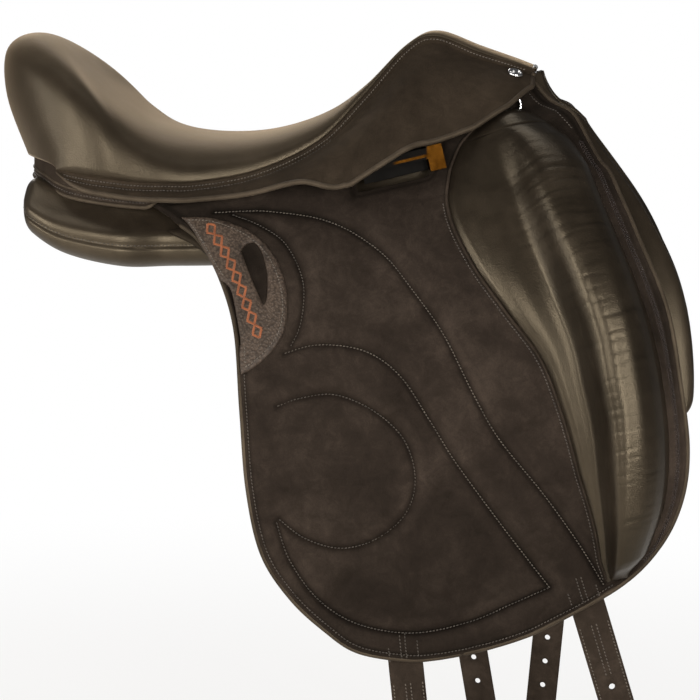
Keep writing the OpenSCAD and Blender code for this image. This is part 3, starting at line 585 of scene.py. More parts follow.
def plate(outer, holes, place, spacing, rim, rim_drop):
    """Closed plate with holes. place(points, side, drop) gives its faces: side 1 on top and -1 below."""
    loops = [outer] + holes
    closed = [np.vstack([q, q[:1]]) for q in loops]
    first, last = outer.min(0), outer.max(0)
    gx, gy = np.meshgrid(np.arange(first[0], last[0], spacing), np.arange(first[1], last[1], spacing))
    gx = gx + (np.arange(gx.shape[0]) % 2)[:, None] * spacing / 2
    inner = np.stack([gx.ravel(), gy.ravel()], 1)
    extra = [inner[distance(inner, closed) > rim + 0.45 * spacing]]
    for q in closed:
        fine = resample(q, step=max(1.0, spacing * 0.6))[:-1]
        normal = unit(np.gradient(fine, axis=0)[:, ::-1] * [1, -1])
        extra += [fine + rim * normal, fine - rim * normal]
    extra = np.concatenate(extra)
    extra = extra[within(extra, loops) & (distance(extra, closed) > 0.8 * rim)]
    edges, start = [], 0
    for q in loops:
        edges += [(start + k, start + (k + 1) % len(q)) for k in range(len(q))]
        start += len(q)
    points = [Vector(p) for p in np.concatenate(loops + [extra]).tolist()]
    out = delaunay_2d_cdt(points, edges, [], 0, MERGE_WITHIN)
    flat, origins = np.array([list(v) for v in out[0]]), out[3]
    use = within(np.array([flat[list(t)].mean(0) for t in out[2]]), loops)
    tris = [list(t) for t, ok in zip(out[2], use) if ok]
    drop = rim_drop * (1 - np.clip(distance(flat, closed) / rim, 0, 1)) ** 2
    n = len(flat)
    made_from = {o: k for k, origin in enumerate(origins) for o in origin}
    faces = tris + [[n + q for q in reversed(t)] for t in tris]
    for a, b in edges:
        a, b = made_from[a], made_from[b]
        faces.append([b, a, n + a, n + b])
    return np.concatenate([place(flat, 1, drop), place(flat, -1, drop)]), faces


def linked(name, data):
    """A new object in the scene."""
    obj = bpy.data.objects.new(name, data)
    bpy.context.scene.collection.objects.link(obj)
    return obj


def closed_mesh(name, verts, faces):
    """Mesh in metres from points in millimetres, its faces turned outwards."""
    mesh = bpy.data.meshes.new(name)
    mesh.from_pydata((verts * MM).tolist(), [], faces)
    work = bmesh.new()
    work.from_mesh(mesh)
    bmesh.ops.recalc_face_normals(work, faces=work.faces)
    work.to_mesh(mesh)
    work.free()
    return mesh


def mirror(flip):
    return np.array([1, -1 if flip else 1, 1])


def piece(name, shape, material, body, replaces=(), flip=False, shade=None):
    """Makes one object of the saddle. flip puts a right-hand shape on the left, shade is a painted shading
    value a point.
    """
    mesh = closed_mesh(name, shape[0] * mirror(flip), shape[1])
    mesh.shade_smooth()
    mesh.materials.append(material)
    if shade is not None:
        marks = mesh.attributes.new("shade", "FLOAT", "POINT")
        marks.data.foreach_set("value", np.asarray(shade, np.float32))
    obj = linked(name, mesh)
    if body:
        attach(obj, body)
    if replaces:
        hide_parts(*replaces)
    return obj


def both(name, shape, material, body, replaces=(), shade=None):
    """The same piece on the right and, mirrored, on the left. {} in a name stands for the side."""
    made = []
    for side in SIDES:
        nodes = [n.format(side) for n in replaces]
        flip = side == "left"
        made.append(piece(f"{name}_{side}", shape, material, body.format(side), nodes, flip, shade))
    return made


SWELL_FRAMES = 18


def swell(shape, held, pressure, cap):
    """Lets a leather case swell under its filling. held points stay, and none moves further than cap mm."""
    verts, faces = shape
    obj = linked("swell", closed_mesh("swell", verts, faces))
    group = obj.vertex_groups.new(name="held")
    group.add([int(k) for k in np.nonzero(held)[0]], 1.0, "REPLACE")
    cloth = obj.modifiers.new("Cloth", "CLOTH")
    settings = cloth.settings
    settings.quality = 5
    settings.mass = 0.3
    settings.vertex_group_mass = "held"
    settings.use_pressure = True
    settings.uniform_pressure_force = pressure
    settings.effector_weights.gravity = 0
    cloth.point_cache.frame_start, cloth.point_cache.frame_end = 1, SWELL_FRAMES
    scene = bpy.context.scene
    for f in range(1, SWELL_FRAMES + 1):
        scene.frame_set(f)
    done = obj.evaluated_get(bpy.context.evaluated_depsgraph_get()).to_mesh()
    moved = np.array([v.co for v in done.vertices]) / MM - verts
    bpy.data.objects.remove(obj)
    scene.frame_set(1)
    length = np.linalg.norm(moved, axis=1, keepdims=True)
    return verts + moved * np.minimum(1, cap / np.maximum(length, TINY)), faces


# Materials
class Nodes:
    """A node tree that is filled step by step."""

    def __init__(self, owner):
        owner.use_nodes = True
        self.tree = owner.node_tree
        self.tree.nodes.clear()

    def add(self, kind, **values):
        node = self.tree.nodes.new("ShaderNode" + kind)
        for key, value in values.items():
            setattr(node, key, value)
        return node

    def link(self, a, b):
        self.tree.links.new(a, b)

    def math(self, kind, a, b):
        node = self.add("Math", operation=kind)
        for k, value in enumerate((a, b)):
            if isinstance(value, (int, float)):
                node.inputs[k].default_value = value
            else:
                self.link(value, node.inputs[k])
        return node.outputs[0]

    def weigh(self, *parts):
        """Sum of some values, each times its weight."""
        total = None
        for value, weight in parts:
            part = self.math("MULTIPLY", value, weight)
            total = part if total is None else self.math("ADD", total, part)
        return total

    def axes(self, value):
        node = self.add("SeparateXYZ")
        self.link(value, node.inputs[0])
        return node.outputs

    def ranged(self, value, start, end, first=0.0, last=1.0, interpolation_type="SMOOTHSTEP"):
        """Goes from first to last as the value goes from start to end."""
        node = self.add("MapRange", interpolation_type=interpolation_type)
        for key, number in (("From Min", start), ("From Max", end), ("To Min", first), ("To Max", last)):
            node.inputs[key].default_value = number
        self.link(value, node.inputs["Value"])
        return node.outputs[0]


WAVE_BANDS = 20


class Paint(Nodes):
    """A material made of nodes. Noise sizes are in millimetres."""

    def __init__(self, name):
        self.made = bpy.data.materials.new(name)
        super().__init__(self.made)
        self.shader = self.add("BsdfPrincipled")
        self.link(self.shader.outputs[0], self.add("OutputMaterial").inputs["Surface"])
        self.place = self.add("TexCoord").outputs["Object"]
        self.height = None

    def set(self, **values):
        for key, value in values.items():
            self.shader.inputs[key.replace("_", " ")].default_value = value

    def texture(self, kind, size, place=None, values=(), **options):
        """A texture of that size, with the values of its other inputs."""
        node = self.add(kind, **options)
        node.inputs["Scale"].default_value = 1000.0 / size
        for key, value in values:
            node.inputs[key].default_value = value
        self.link(place or self.place, node.inputs["Vector"])
        return node.outputs

    def stretched(self, scale):
        node = self.add("Mapping")
        node.inputs["Scale"].default_value = scale
        self.link(self.place, node.inputs["Vector"])
        return node.outputs[0]

    def noise(self, size, detail=4.0, rough=0.55, warp=0.0, place=None):
        values = (("Detail", detail), ("Roughness", rough), ("Distortion", warp))
        return self.texture("TexNoise", size, place, values)["Fac"]

    def cells(self, size, feature="F1"):
        return self.texture("TexVoronoi", size, feature=feature)["Distance"]

    def wave(self, size, warp, direction="DIAGONAL"):
        values = [("Distortion", warp)]
        return self.texture("TexWave", size * WAVE_BANDS, None, values, bands_direction=direction)["Fac"]

    def along(self, axis, start, end):
        """Rises from 0 to 1 between two places on an axis, in metres."""
        return self.ranged(self.axes(self.place)[axis], start, end)

    def facing(self, axis, start, end):
        """Rises from 0 to 1 as the surface turns to an axis."""
        return self.ranged(self.axes(self.add("TexCoord").outputs["Normal"])[axis], start, end)

    def ramp(self, value, *stops):
        node = self.add("ValToRGB")
        items = node.color_ramp.elements
        while len(items) < len(stops):
            items.new(0.5)
        for item, (place, colour) in zip(items, stops):
            item.position, item.color = place, (*colour, 1)
        self.link(value, node.inputs[0])
        return node.outputs[0]

    def shaded(self, colour):
        """The colour times the painted shading value that the mesh carries at each point."""
        value = self.add("Attribute", attribute_name="shade")
        node = self.add("VectorMath", operation="SCALE")
        self.link(colour, node.inputs[0])
        self.link(value.outputs["Fac"], node.inputs["Scale"])
        return node.outputs[0]

    def colour(self, value):
        self.link(value, self.shader.inputs["Base Color"])

    def blend(self, amount, a, b):
        node = self.add("Mix", data_type="RGBA")
        for socket, value in ((0, amount), (6, a), (7, b)):
            self.link(value, node.inputs[socket])
        return node.outputs[2]

    def rough(self, value, low, high):
        self.link(self.ranged(value, 0.0, 1.0, low, high, "LINEAR"), self.shader.inputs["Roughness"])

    def bump(self, value, depth):
        """Adds a relief of that depth in millimetres."""
        node = self.add("Bump")
        node.inputs["Strength"].default_value = 1.0
        node.inputs["Distance"].default_value = depth * MM
        self.link(value, node.inputs["Height"])
        if self.height:
            self.link(self.height, node.inputs["Normal"])
        self.height = node.outputs[0]
        self.link(self.height, self.shader.inputs["Normal"])
        return self


def smooth_leather(name, dark, mid, light, rough, level, matt_top=False, marked=False):
    """Waxed smooth leather with fine pores. matt_top lets the gloss fade on top and towards the pommel, and
    marked multiplies its colour by the painted shading that the mesh carries.
    """
    p = Paint(name)
    tone = p.weigh((p.noise(95, 5, 0.6, 0.4), 0.7), (p.noise(14, 4, 0.6, 0.3), 0.3))
    colour = p.ramp(tone, (0.32, dark), (0.5, mid), (0.7, light))
    p.colour(p.shaded(colour) if marked else colour)
    gloss = p.noise(30, 5, 0.62)
    if matt_top:
        gloss = p.weigh((gloss, 0.30), (p.along("X", 0.06, 0.24), 0.45), (p.facing("Z", 0.35, 0.85), 0.75))
        p.set(Sheen_Weight=0.34, Sheen_Roughness=0.4, Sheen_Tint=(0.96, 0.71, 0.44, 1))
    p.rough(gloss, *rough)
    p.bump(p.noise(9, 4, 0.55), 0.12).bump(p.cells(1.4), 0.07).bump(p.noise(0.8, 2), 0.03)
    p.set(Specular_IOR_Level=level, Specular_Tint=(1.0, 0.83, 0.58, 1))
    return p.made


def nubuck_leather(name, dark, mid, light, marked=False):
    """Matt brushed leather with cloudy rubbed patches. marked multiplies its colour by the painted shading
    that the mesh carries.
    """
    p = Paint(name)
    cloud, smear, nap = p.noise(62, 5, 0.62, 0.6), p.noise(15, 5, 0.68, 1.2), p.noise(1.3, 3, 0.6)
    tone = p.weigh((cloud, 0.48), (smear, 0.34), (nap, 0.18))
    colour = p.ramp(tone, (0.34, dark), (0.5, mid), (0.66, light))
    p.colour(p.shaded(colour) if marked else colour)
    p.rough(smear, 0.7, 0.95)
    p.bump(smear, 0.18).bump(p.noise(2.6, 4, 0.6), 0.14).bump(nap, 0.10)
    p.set(Specular_IOR_Level=0.08, Specular_Tint=(1.0, 0.86, 0.7, 1), Sheen_Weight=0.03, Sheen_Roughness=0.5,
          Sheen_Tint=(0.62, 0.5, 0.38, 1))
    return p.made


def thread(name, dark, light):
    p = Paint(name)
    p.colour(p.ramp(p.noise(9), (0.3, dark), (0.7, light)))
    p.rough(p.noise(1.2), 0.55, 0.8)
    p.bump(p.wave(0.7, 1.0), 0.12)
    p.set(Specular_IOR_Level=0.3, Sheen_Weight=0.15)
    return p.made


def metal(name, dark, light, rough, scratch=0.02):
    p = Paint(name)
    p.colour(p.ramp(p.noise(12), (0.3, dark), (0.7, light)))
    p.rough(p.noise(3, 5, 0.7), *rough)
    p.bump(p.noise(0.5, 3, 0.6, 0, p.stretched((1, 1, 14))), scratch)
    p.set(Metallic=1.0)
    return p.made


def patch_material():
    p = Paint("grained_leather")
    grain, cloud = p.cells(1.9, "SMOOTH_F1"), p.noise(26)
    p.colour(p.ramp(p.weigh((grain, 0.55), (cloud, 0.5)), (0.25, (0.086, 0.062, 0.046)),
                    (0.5, (0.046, 0.033, 0.0243)), (0.8, (0.012, 0.0088, 0.0067))))
    p.rough(cloud, 0.40, 0.58)
    p.bump(grain, 0.7).bump(p.noise(0.8, 3), 0.06)
    p.set(Specular_IOR_Level=0.2)
    return p.made


BAR_SLOPE = HINGE_ALONG[2] / HINGE_ALONG[0]
BAR_LEVEL = (HINGE_REAR[2] - HINGE_REAR[0] * BAR_SLOPE) * MM


def bar_material():
    """Black coated stirrup bar with a brass strip along the rail's upper edge painted as a highlight, and
    brass at its front arm.
    """
    p = Paint("bar_finish")
    axes = p.axes(p.place)
    rise = p.math("SUBTRACT", axes["Z"], p.math("MULTIPLY", axes["X"], float(BAR_SLOPE)))
    # A brass strip along the rail's upper edge, a painted highlight
    edge = p.math("MULTIPLY", p.ranged(rise, BAR_LEVEL - 0.0030, BAR_LEVEL - 0.0022),
                  p.ranged(rise, BAR_LEVEL + 0.0004, BAR_LEVEL - 0.0006))
    edge = p.math("MULTIPLY", edge, p.along("X", 0.148, 0.153))
    shown_brass = p.math("MAXIMUM", edge, p.along("X", 0.1775, 0.1795))
    brass = p.ramp(p.noise(9), (0.3, (0.016, 0.0058, 0.0006)), (0.7, (0.052, 0.0208, 0.0027)))
    coat = p.ramp(p.noise(12), (0.3, (0.0022, 0.0018, 0.0014)), (0.7, (0.005, 0.004, 0.003)))
    p.colour(p.blend(shown_brass, coat, brass))
    p.link(shown_brass, p.shader.inputs["Metallic"])
    p.rough(p.noise(4), 0.34, 0.52)
    p.bump(p.noise(7), 0.25)
    p.set(Specular_IOR_Level=0.02)
    return p.made


def plastic_material():
    p = Paint("black_plastic")
    p.colour(p.ramp(p.noise(20), (0.3, (0.003, 0.0026, 0.0022)), (0.7, (0.007, 0.006, 0.005))))
    p.rough(p.noise(5), 0.5, 0.7)
    p.bump(p.noise(0.9, 3), 0.05)
    p.set(Specular_IOR_Level=0.05)
    return p.made


def wood_material():
    p = Paint("laminated_wood")
    ring = p.noise(6, 6, 0.65, 1.2, p.stretched((0.12, 1, 1)))
    p.colour(p.ramp(ring, (0.3, (0.25, 0.15, 0.075)), (0.55, (0.42, 0.28, 0.15)), (0.75, (0.52, 0.37, 0.21))))
    p.rough(ring, 0.42, 0.6)
    return p.bump(ring, 0.15).made


def webbing_material():
    p = Paint("woven_webbing")
    weave = p.math("MULTIPLY", p.wave(1.6, 0.2, "X"), p.wave(1.6, 0.2, "Y"))
    p.colour(p.ramp(weave, (0.1, (0.30, 0.26, 0.18)), (0.8, (0.60, 0.53, 0.40))))
    p.rough(p.noise(5), 0.8, 0.95)
    return p.bump(weave, 0.3).made


def foam_material():
    p = Paint("seat_foam")
    cell = p.cells(1.4)
    p.colour(p.ramp(cell, (0.1, (0.42, 0.38, 0.27)), (0.7, (0.66, 0.61, 0.47))))
    p.rough(cell, 0.85, 0.98)
    return p.bump(cell, 0.4).made


LEATHER = smooth_leather("smooth_leather", (0.011, 0.0082, 0.0056), (0.019, 0.0142, 0.0098),
                         (0.032, 0.0243, 0.017), (0.27, 0.42), 0.42)
SEAT = smooth_leather("seat_leather", (0.009, 0.0066, 0.0045), (0.015, 0.0111, 0.0076),
                      (0.026, 0.0196, 0.0136), (0.28, 0.80), 0.46, matt_top=True)
# The block leather carries the painted shade of its creases
BLOCK = smooth_leather("block_leather", (0.007, 0.0053, 0.0037), (0.0140, 0.0106, 0.0074),
                       (0.026, 0.0198, 0.0138), (0.24, 0.38), 0.46, marked=True)
PANEL = smooth_leather("panel_leather", (0.012, 0.0089, 0.0061), (0.021, 0.0157, 0.0108),
                       (0.035, 0.0266, 0.0186), (0.31, 0.47), 0.70)
EDGE = smooth_leather("edge_leather", (0.022, 0.0167, 0.012), (0.042, 0.0321, 0.023),
                      (0.072, 0.0555, 0.0397), (0.40, 0.56), 0.18)
LINING = smooth_leather("lining_leather", (0.011, 0.0082, 0.0058), (0.019, 0.0142, 0.0101),
                        (0.031, 0.0236, 0.0169), (0.55, 0.7), 0.14)
NUBUCK = nubuck_leather("nubuck", (0.014, 0.0104, 0.0078), (0.027, 0.0199, 0.0150), (0.048, 0.0358, 0.0272))
# The flap nubuck carries the painted shading of its seams, top, rim and drop
FLAP = nubuck_leather("flap_nubuck", (0.0105, 0.0078, 0.0061), (0.0212, 0.0156, 0.0121),
                      (0.040, 0.0298, 0.0230), marked=True)
SKIRT = nubuck_leather("skirt_leather", (0.014, 0.0102, 0.0068), (0.024, 0.0175, 0.0119),
                       (0.038, 0.0279, 0.0191))
THREAD = thread("thread_light", (0.055, 0.045, 0.035), (0.13, 0.108, 0.084))
THREAD_DARK = thread("thread_dark", (0.03, 0.024, 0.0185), (0.078, 0.063, 0.049))
THREAD_BROWN = thread("thread_brown", (0.010, 0.0058, 0.0046), (0.027, 0.0156, 0.0122))
THREAD_ORANGE = thread("thread_orange", (0.16, 0.048, 0.016), (0.30, 0.092, 0.031))
CHROME = metal("chrome", (0.62, 0.62, 0.63), (0.80, 0.80, 0.81), (0.08, 0.2))
STEEL = metal("plain_steel", (0.36, 0.36, 0.37), (0.52, 0.52, 0.53), (0.3, 0.48), 0.05)
BRASS = metal("brass", (0.13, 0.055, 0.009), (0.24, 0.115, 0.022), (0.24, 0.42), 0.04)
PATCH, PLASTIC, WOOD, BAR = patch_material(), plastic_material(), wood_material(), bar_material()
WEBBING, FOAM = webbing_material(), foam_material()

# Seat cover, and the foam under it on every second row
seat_u = np.linspace(0, SEAT_LAST, 141)[:, None]
seat_a = np.linspace(-90, 90, 97)[None, :]
seat_shape = leaf(seat_point(seat_u, seat_a, 0), seat_point(seat_u, seat_a, SEAT_LEATHER))
seat = piece("seat_leather", seat_shape, SEAT, "saddle", ["seat_cover"])
FOAM_TOP = SEAT_LEATHER + LIE_GAP
foam_u, foam_a = seat_u[::2], seat_a[:, ::2]
foam_shape = leaf(seat_point(foam_u, foam_a, FOAM_TOP), seat_point(foam_u, foam_a, FOAM_TOP + SEAT_FOAM))
foam = piece("seat_filling", foam_shape, FOAM, "saddle", ["seat_foam"])

# Piping under the seat's seam and round its pommel end
PIPING_IN, PIPING_DOWN, PIPING_R = 0.5, 0.6, 1.1
POMMEL_PIPING_DEPTH, POMMEL_PIPING_R = 1.8, 2.3
welt_u = np.linspace(0, SEAT_LAST, 160)
welt = seam_point(welt_u) + WELT_IN * PIPING_IN + PIPING_DOWN * seam_down(welt_u)
both("seat_piping", tube(welt, PIPING_R), LEATHER, "saddle", ["seat_welt_{}"])
pommel_end = seat_point(np.full(60, SEAT_LAST), np.linspace(-90, 90, 60), POMMEL_PIPING_DEPTH)
piece("pommel_piping", tube(pommel_end, POMMEL_PIPING_R), LEATHER, "saddle")

# Skirt with its rolled edge and seam stitching
skirt_u = np.linspace(0, SEAT_LAST, 200)[:, None]
skirt_w = np.linspace(0, 1, 44)[None, :]
skirt_shape = leaf(skirt_point(skirt_u, skirt_w, 0), skirt_point(skirt_u, skirt_w, SKIRT_LEATHER))
both("skirt_leather", skirt_shape, SKIRT, "saddle", ["skirt_{}"])
LIP_R, LIP_POINT, LIP_GROWS, LIP_SHARE = 2.5, 0.9, 60, 0.985
LIP_DEPTH = SKIRT_LEATHER / 2 - 0.3
lip = np.concatenate([skirt_point(np.linspace(0.05, SEAT_LAST - 0.02, 260), LIP_SHARE, LIP_DEPTH),
                      skirt_point(SEAT_LAST, np.linspace(0.93, 0.04, 14), LIP_DEPTH)])
lip_r = mix(LIP_POINT, LIP_R, ease(np.arange(len(lip)) / LIP_GROWS))
both("skirt_lip", tube(lip, lip_r, sides=12), EDGE, "saddle")


def to_right(n):
    """Directions turned so that they point out on the right-hand side."""
    return np.where(n[..., 1:2] > 0, -n, n)


def skirt_row(first, last, below):
    """Line on the skirt at a distance below the seam, with its outward directions."""
    u = np.linspace(first, last, 300)
    out, drop, size = skirt_spread(u)
    w = np.clip(below / (2 * WELT_DROP * size + np.hypot(out, drop)), 0, 1)
    line = skirt_point(u, w, 0)
    across = skirt_point(u, w + 0.05, 0) - skirt_point(u, w - 0.05, 0)
    return line, to_right(unit(np.cross(across, np.gradient(line, axis=0))))


FIRST_ROW_BELOW, SECOND_ROW_BELOW = 3.4, 8.0
both("skirt_stitching", sew(*skirt_row(7.5, 13.75, FIRST_ROW_BELOW)), THREAD, "saddle")
skirt_rows = [sew(*skirt_row(0.9, 7.45, FIRST_ROW_BELOW)), sew(*skirt_row(1.1, 9.2, SECOND_ROW_BELOW))]
both("skirt_rear_stitching", join(skirt_rows), THREAD_DARK, "saddle")

# Studs at the skirt tips
STUD_U, STUD_W, STUD_STEP = 13.6, 0.40, 0.1
STUD_PROFILE = [
    (0.2, 0.6), (6.4, 0.6), (7.0, 1.2), (7.0, 2.1), (6.3, 3.2), (5.3, 3.6), (4.4, 3.2), (3.9, 2.3),
    (3.5, 2.2), (3.1, 2.6), (2.0, 3.2), (0.9, 3.4), (0.1, 3.4),
]
stud_down = skirt_point(STUD_U, STUD_W + STUD_STEP, 0) - skirt_point(STUD_U, STUD_W - STUD_STEP, 0)
stud_ahead = skirt_point(STUD_U + STUD_STEP, STUD_W, 0) - skirt_point(STUD_U - STUD_STEP, STUD_W, 0)
stud_out = to_right(unit(np.cross(stud_down, stud_ahead)))
stud_shape = lathe(STUD_PROFILE, skirt_point(STUD_U, STUD_W, 0), stud_out)
both("pommel_stud", stud_shape, CHROME, "saddle", ["pommel_studs"])

# Flap: padded nubuck that runs up under the skirt
CORNER_THICK, BACK_SHADE, BEND_AT, BEND_FIRST, BEND_LAST = 2.2, 0.8, 200, -4.0, 14.0
flap_h = flap_height(FLAP_FINE)
flap_back = mix(-FLAP_THICK, flap_h - CORNER_THICK, top_inside(FLAP_FINE))
flap_shape = leaf(over_flap(FLAP_FINE, flap_h), over_flap(FLAP_FINE, flap_back))
# Painted shading on the flap's face, and a fixed shade value on its back
flap_shading = np.concatenate([flap_shade(FLAP_FINE).ravel(), np.full(flap_h.size, BACK_SHADE)])
plumb = unit(np.array([0, 0, -1.0]) + HINGE_ALONG * HINGE_ALONG[2])
for side in SIDES:
    flip = side == "left"
    flap = piece(f"flap_leather_{side}", flap_shape, FLAP, None, [f"flap_{side}"], flip, flap_shading)
    top_row = sew(*on_flap(TOP_ROW))
    top_seam = piece(f"flap_top_stitching_{side}", top_row, THREAD_DARK, None, [], flip)
    ends = [HINGE_REAR + BEND_AT * HINGE_ALONG + d * plumb for d in (BEND_FIRST, BEND_LAST)]
    ends = [tuple(p * mirror(flip) * MM) for p in ends]
    for bending in (flap, top_seam):
        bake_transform(bending)

# Lining behind the flap. Its top is squeezed to stay below the hinge line, so that it swings clear of the
# ring and the front roll
LINING_FIRST, LINING_EVEN = 8.0, 40.0
LINING_TOP = -FLAP_THICK - WEB_GAP
lining_places = flap_places(60, 60)
lining_places = lining_places[lining_places[:, 30, 1] > LINING_FIRST]
squeeze = np.minimum(1, (LINING_EVEN - LINING_FIRST) / (LINING_EVEN - lining_places[0, :, 1]))
upper_part = np.minimum(lining_places[..., 1] - LINING_EVEN, 0)
lining_places[..., 1] += upper_part * (squeeze - 1)
lining_shape = leaf(over_flap(lining_places, LINING_TOP), over_flap(lining_places, LINING_TOP - LINING_THICK))
both("lining", lining_shape, LINING, "{}_flap", ["flap_lining_{}"])

# Stitching of the flap
EDGE_ROW_IN, EDGE_ROW_SHARE, REAR_FROM, FRONT_FROM = 4.5, 0.6, 8, -4
rear_edge, front_edge = [raised(edge) for edge in flap_sides(400)]
rear_run = rear_edge[rear_edge[:, 1] > REAR_FROM]
bound = np.concatenate([rear_run, front_edge[front_edge[:, 1] > FRONT_FROM][::-1]])
bound = resample(bound, step=2)


def inset(line, by):
    """A line moved sideways, to the inside of the flap."""
    t = unit(np.gradient(line, axis=0))
    n = np.stack([t[:, 1], -t[:, 0]], 1)
    moved = line + by * n
    middle = len(moved) // 2
    return moved if inside(moved[middle:middle + 1], FLAP_LOOP)[0] else line - by * n


edge_row = inset(bound, EDGE_ROW_IN)[: int(len(bound) * EDGE_ROW_SHARE)]
bright_rows = [sew(*on_flap(line)) for line in (LINE_A, LINE_B)]
both("flap_stitching", join(bright_rows), THREAD, "{}_flap")
quiet_rows = [sew(*on_flap(line)) for line in (CIRCLE, CRESCENT, edge_row, PATCH_RIM)]
both("flap_edge_stitching", join(quiet_rows), THREAD_DARK, "{}_flap")

# Knee block: a smooth case that rises from its piped seam to a thick roll at the front.
# Its rows, as shares of the flap: level, rear seam, front seam, and height of the case
BLOCK_ROWS = [
    [-0.048, 0.652, 0.668, 0.80], [-0.043, 0.632, 0.692, 0.80], [-0.028, 0.610, 0.716, 0.81],
    [0.000, 0.583, 0.750, 0.82], [0.05, 0.565, 0.79, 0.85], [0.12, 0.564, 0.825, 0.89],
    [0.22, 0.602, 0.86, 0.95], [0.33, 0.664, 0.90, 1.00], [0.45, 0.735, 0.935, 1.00],
    [0.57, 0.776, 0.957, 1.00], [0.70, 0.808, 0.968, 0.97],
    [0.80, 0.834, 0.96, 0.88], [0.88, 0.848, 0.932, 0.66], [0.925, 0.86, 0.895, 0.30],
]
# How far the roll reaches across the case at each level: a power of the share across
ROLL_REACH = [
    [-0.048, 0.76], [0.0, 0.88], [0.05, 0.98], [0.12, 1.06], [0.25, 1.02], [0.38, 0.86], [0.5, 0.70],
    [0.62, 0.63], [0.8, 0.46], [0.93, 0.42],
]
# Height of the case across its middle, from the rear seam to the front one
ROLL_PROFILE = [
    [0.0, 0.0], [0.05, 0.10], [0.13, 0.19], [0.23, 0.25], [0.34, 0.27], [0.41, 0.32], [0.48, 0.52],
    [0.55, 0.79], [0.61, 0.94], [0.68, 1.0], [0.76, 0.985], [0.84, 0.92], [0.91, 0.77], [0.965, 0.48],
    [1.0, 0.0],
]
BLOCK_TOP, BLOCK_CAP, BLOCK_END = -0.048, 0.24, 0.925
BLOCK_LIFT, BLOCK_BACK = 0.8, 0.3
ROLL_CREASES, DOME_CREASES, CREASE_SEED = 110, 15, 7
SPARSE_GRID, BLOCK_GRID, EVEN_ROUNDS = (110, 44), (430, 88), 14
HELD_BELOW, HELD_REAR, HELD_FRONT = 5, 0.03, 0.985
# Painted shade in the block's creases: its strength and its darkest value
CREASE_DARK, DARKEST = 1.8, 0.3


def block_place(level, t):
    """Place (s, d) on the flap, at a level and a share across the block."""
    r = lookup(BLOCK_ROWS, level)
    s = mix(r[..., 1], r[..., 2], t) * FLAP_WIDTH
    return np.stack([s, level * FLAP_DROP + 0 * s], -1)


def block_height(level, t):
    """Height of the case over the flap: a dome at its top that turns into the roll."""
    share = lookup(BLOCK_ROWS, level)[..., 3]
    cap = np.sqrt(1 - (1 - np.clip((level - BLOCK_TOP) / BLOCK_CAP, 0, 1)) ** 2)
    share = share * cap * ease((BLOCK_END + 0.001 - level) / 0.035) ** 0.5
    dome = np.sin(np.pi * np.clip(t, 0, 1) ** 1.25) ** 0.75
    roll = lookup(ROLL_PROFILE, np.clip(t, 0, 1) ** lookup(ROLL_REACH, level)[..., 1])[..., 1]
    crown = mix(dome, roll, ease((level + 0.05) / 0.18))
    return BLOCK_LIFT + np.maximum(crown, 0) * share * BLOCK_HEIGHT


def block_creases(level, t):
    """Fine creases across the roll and arcs over its dome, as leather takes from a rider's knee."""
    draw = np.random.default_rng(CREASE_SEED)
    d = level * FLAP_DROP
    relief = np.zeros(np.broadcast(level, t).shape)
    for k in range(ROLL_CREASES):
        at = 50 + 330 * (k + draw.uniform(-0.45, 0.45)) / ROLL_CREASES
        middle, half = draw.uniform(0.45, 0.84), draw.uniform(0.10, 0.28)
        depth, wide = 0.03 + 0.22 * draw.uniform(0, 1) ** 2, draw.uniform(1.0, 2.4)
        bow, tilt = draw.uniform(-4, 16), draw.uniform(-5, 5)
        line = d - at - bow * (t - middle) ** 2 * 4 - tilt * (t - middle)
        window = bell(t - middle, half) * ease((t - 0.25) / 0.2)
        relief -= depth * window * (bell(line, wide) - 0.4 * bell(line - 3.0, 2.4))
    for k in range(DOME_CREASES):
        at, depth = -9 + 7.5 * k + draw.uniform(-3, 3), draw.uniform(0.05, 0.2)
        line = d - at - 62 * (t - 0.56) ** 2
        window = bell(t - draw.uniform(0.55, 0.72), draw.uniform(0.12, 0.28), 4)
        relief -= depth * window * bell(line, draw.uniform(1.2, 2.4))
    return relief


def block_grid(rows, columns):
    """Levels, shares across, places on the flap and the height of the plain case over them."""
    even = np.linspace(0, 1, rows)
    level = mix(BLOCK_TOP, BLOCK_END, 0.7 * even + 0.3 * even ** 2)[:, None]
    even = np.linspace(0, 1, columns)[None, :]
    t = 0.5 * even + 0.25 * (1 - np.cos(np.pi * even))
    return level, t, block_place(level, t), block_height(level, t)


def evened(field, rounds):
    """A grid of values with its small folds taken out. Its border stays at 0."""
    field = np.array(field, float)
    for _ in range(rounds):
        field[0], field[-1], field[:, 0], field[:, -1] = 0, 0, 0, 0
        field[1:-1] = smoothed(field)
        field[:, 1:-1] = smoothed(field.T).T
    return field


def finer(field, rows, columns):
    """A grid of values on closer rows and columns."""
    r, c = np.linspace(0, field.shape[0] - 1, rows), np.linspace(0, field.shape[1] - 1, columns)
    down = np.stack([np.interp(r, np.arange(field.shape[0]), column) for column in field.T], 1)
    return np.stack([np.interp(c, np.arange(field.shape[1]), row) for row in down], 0)


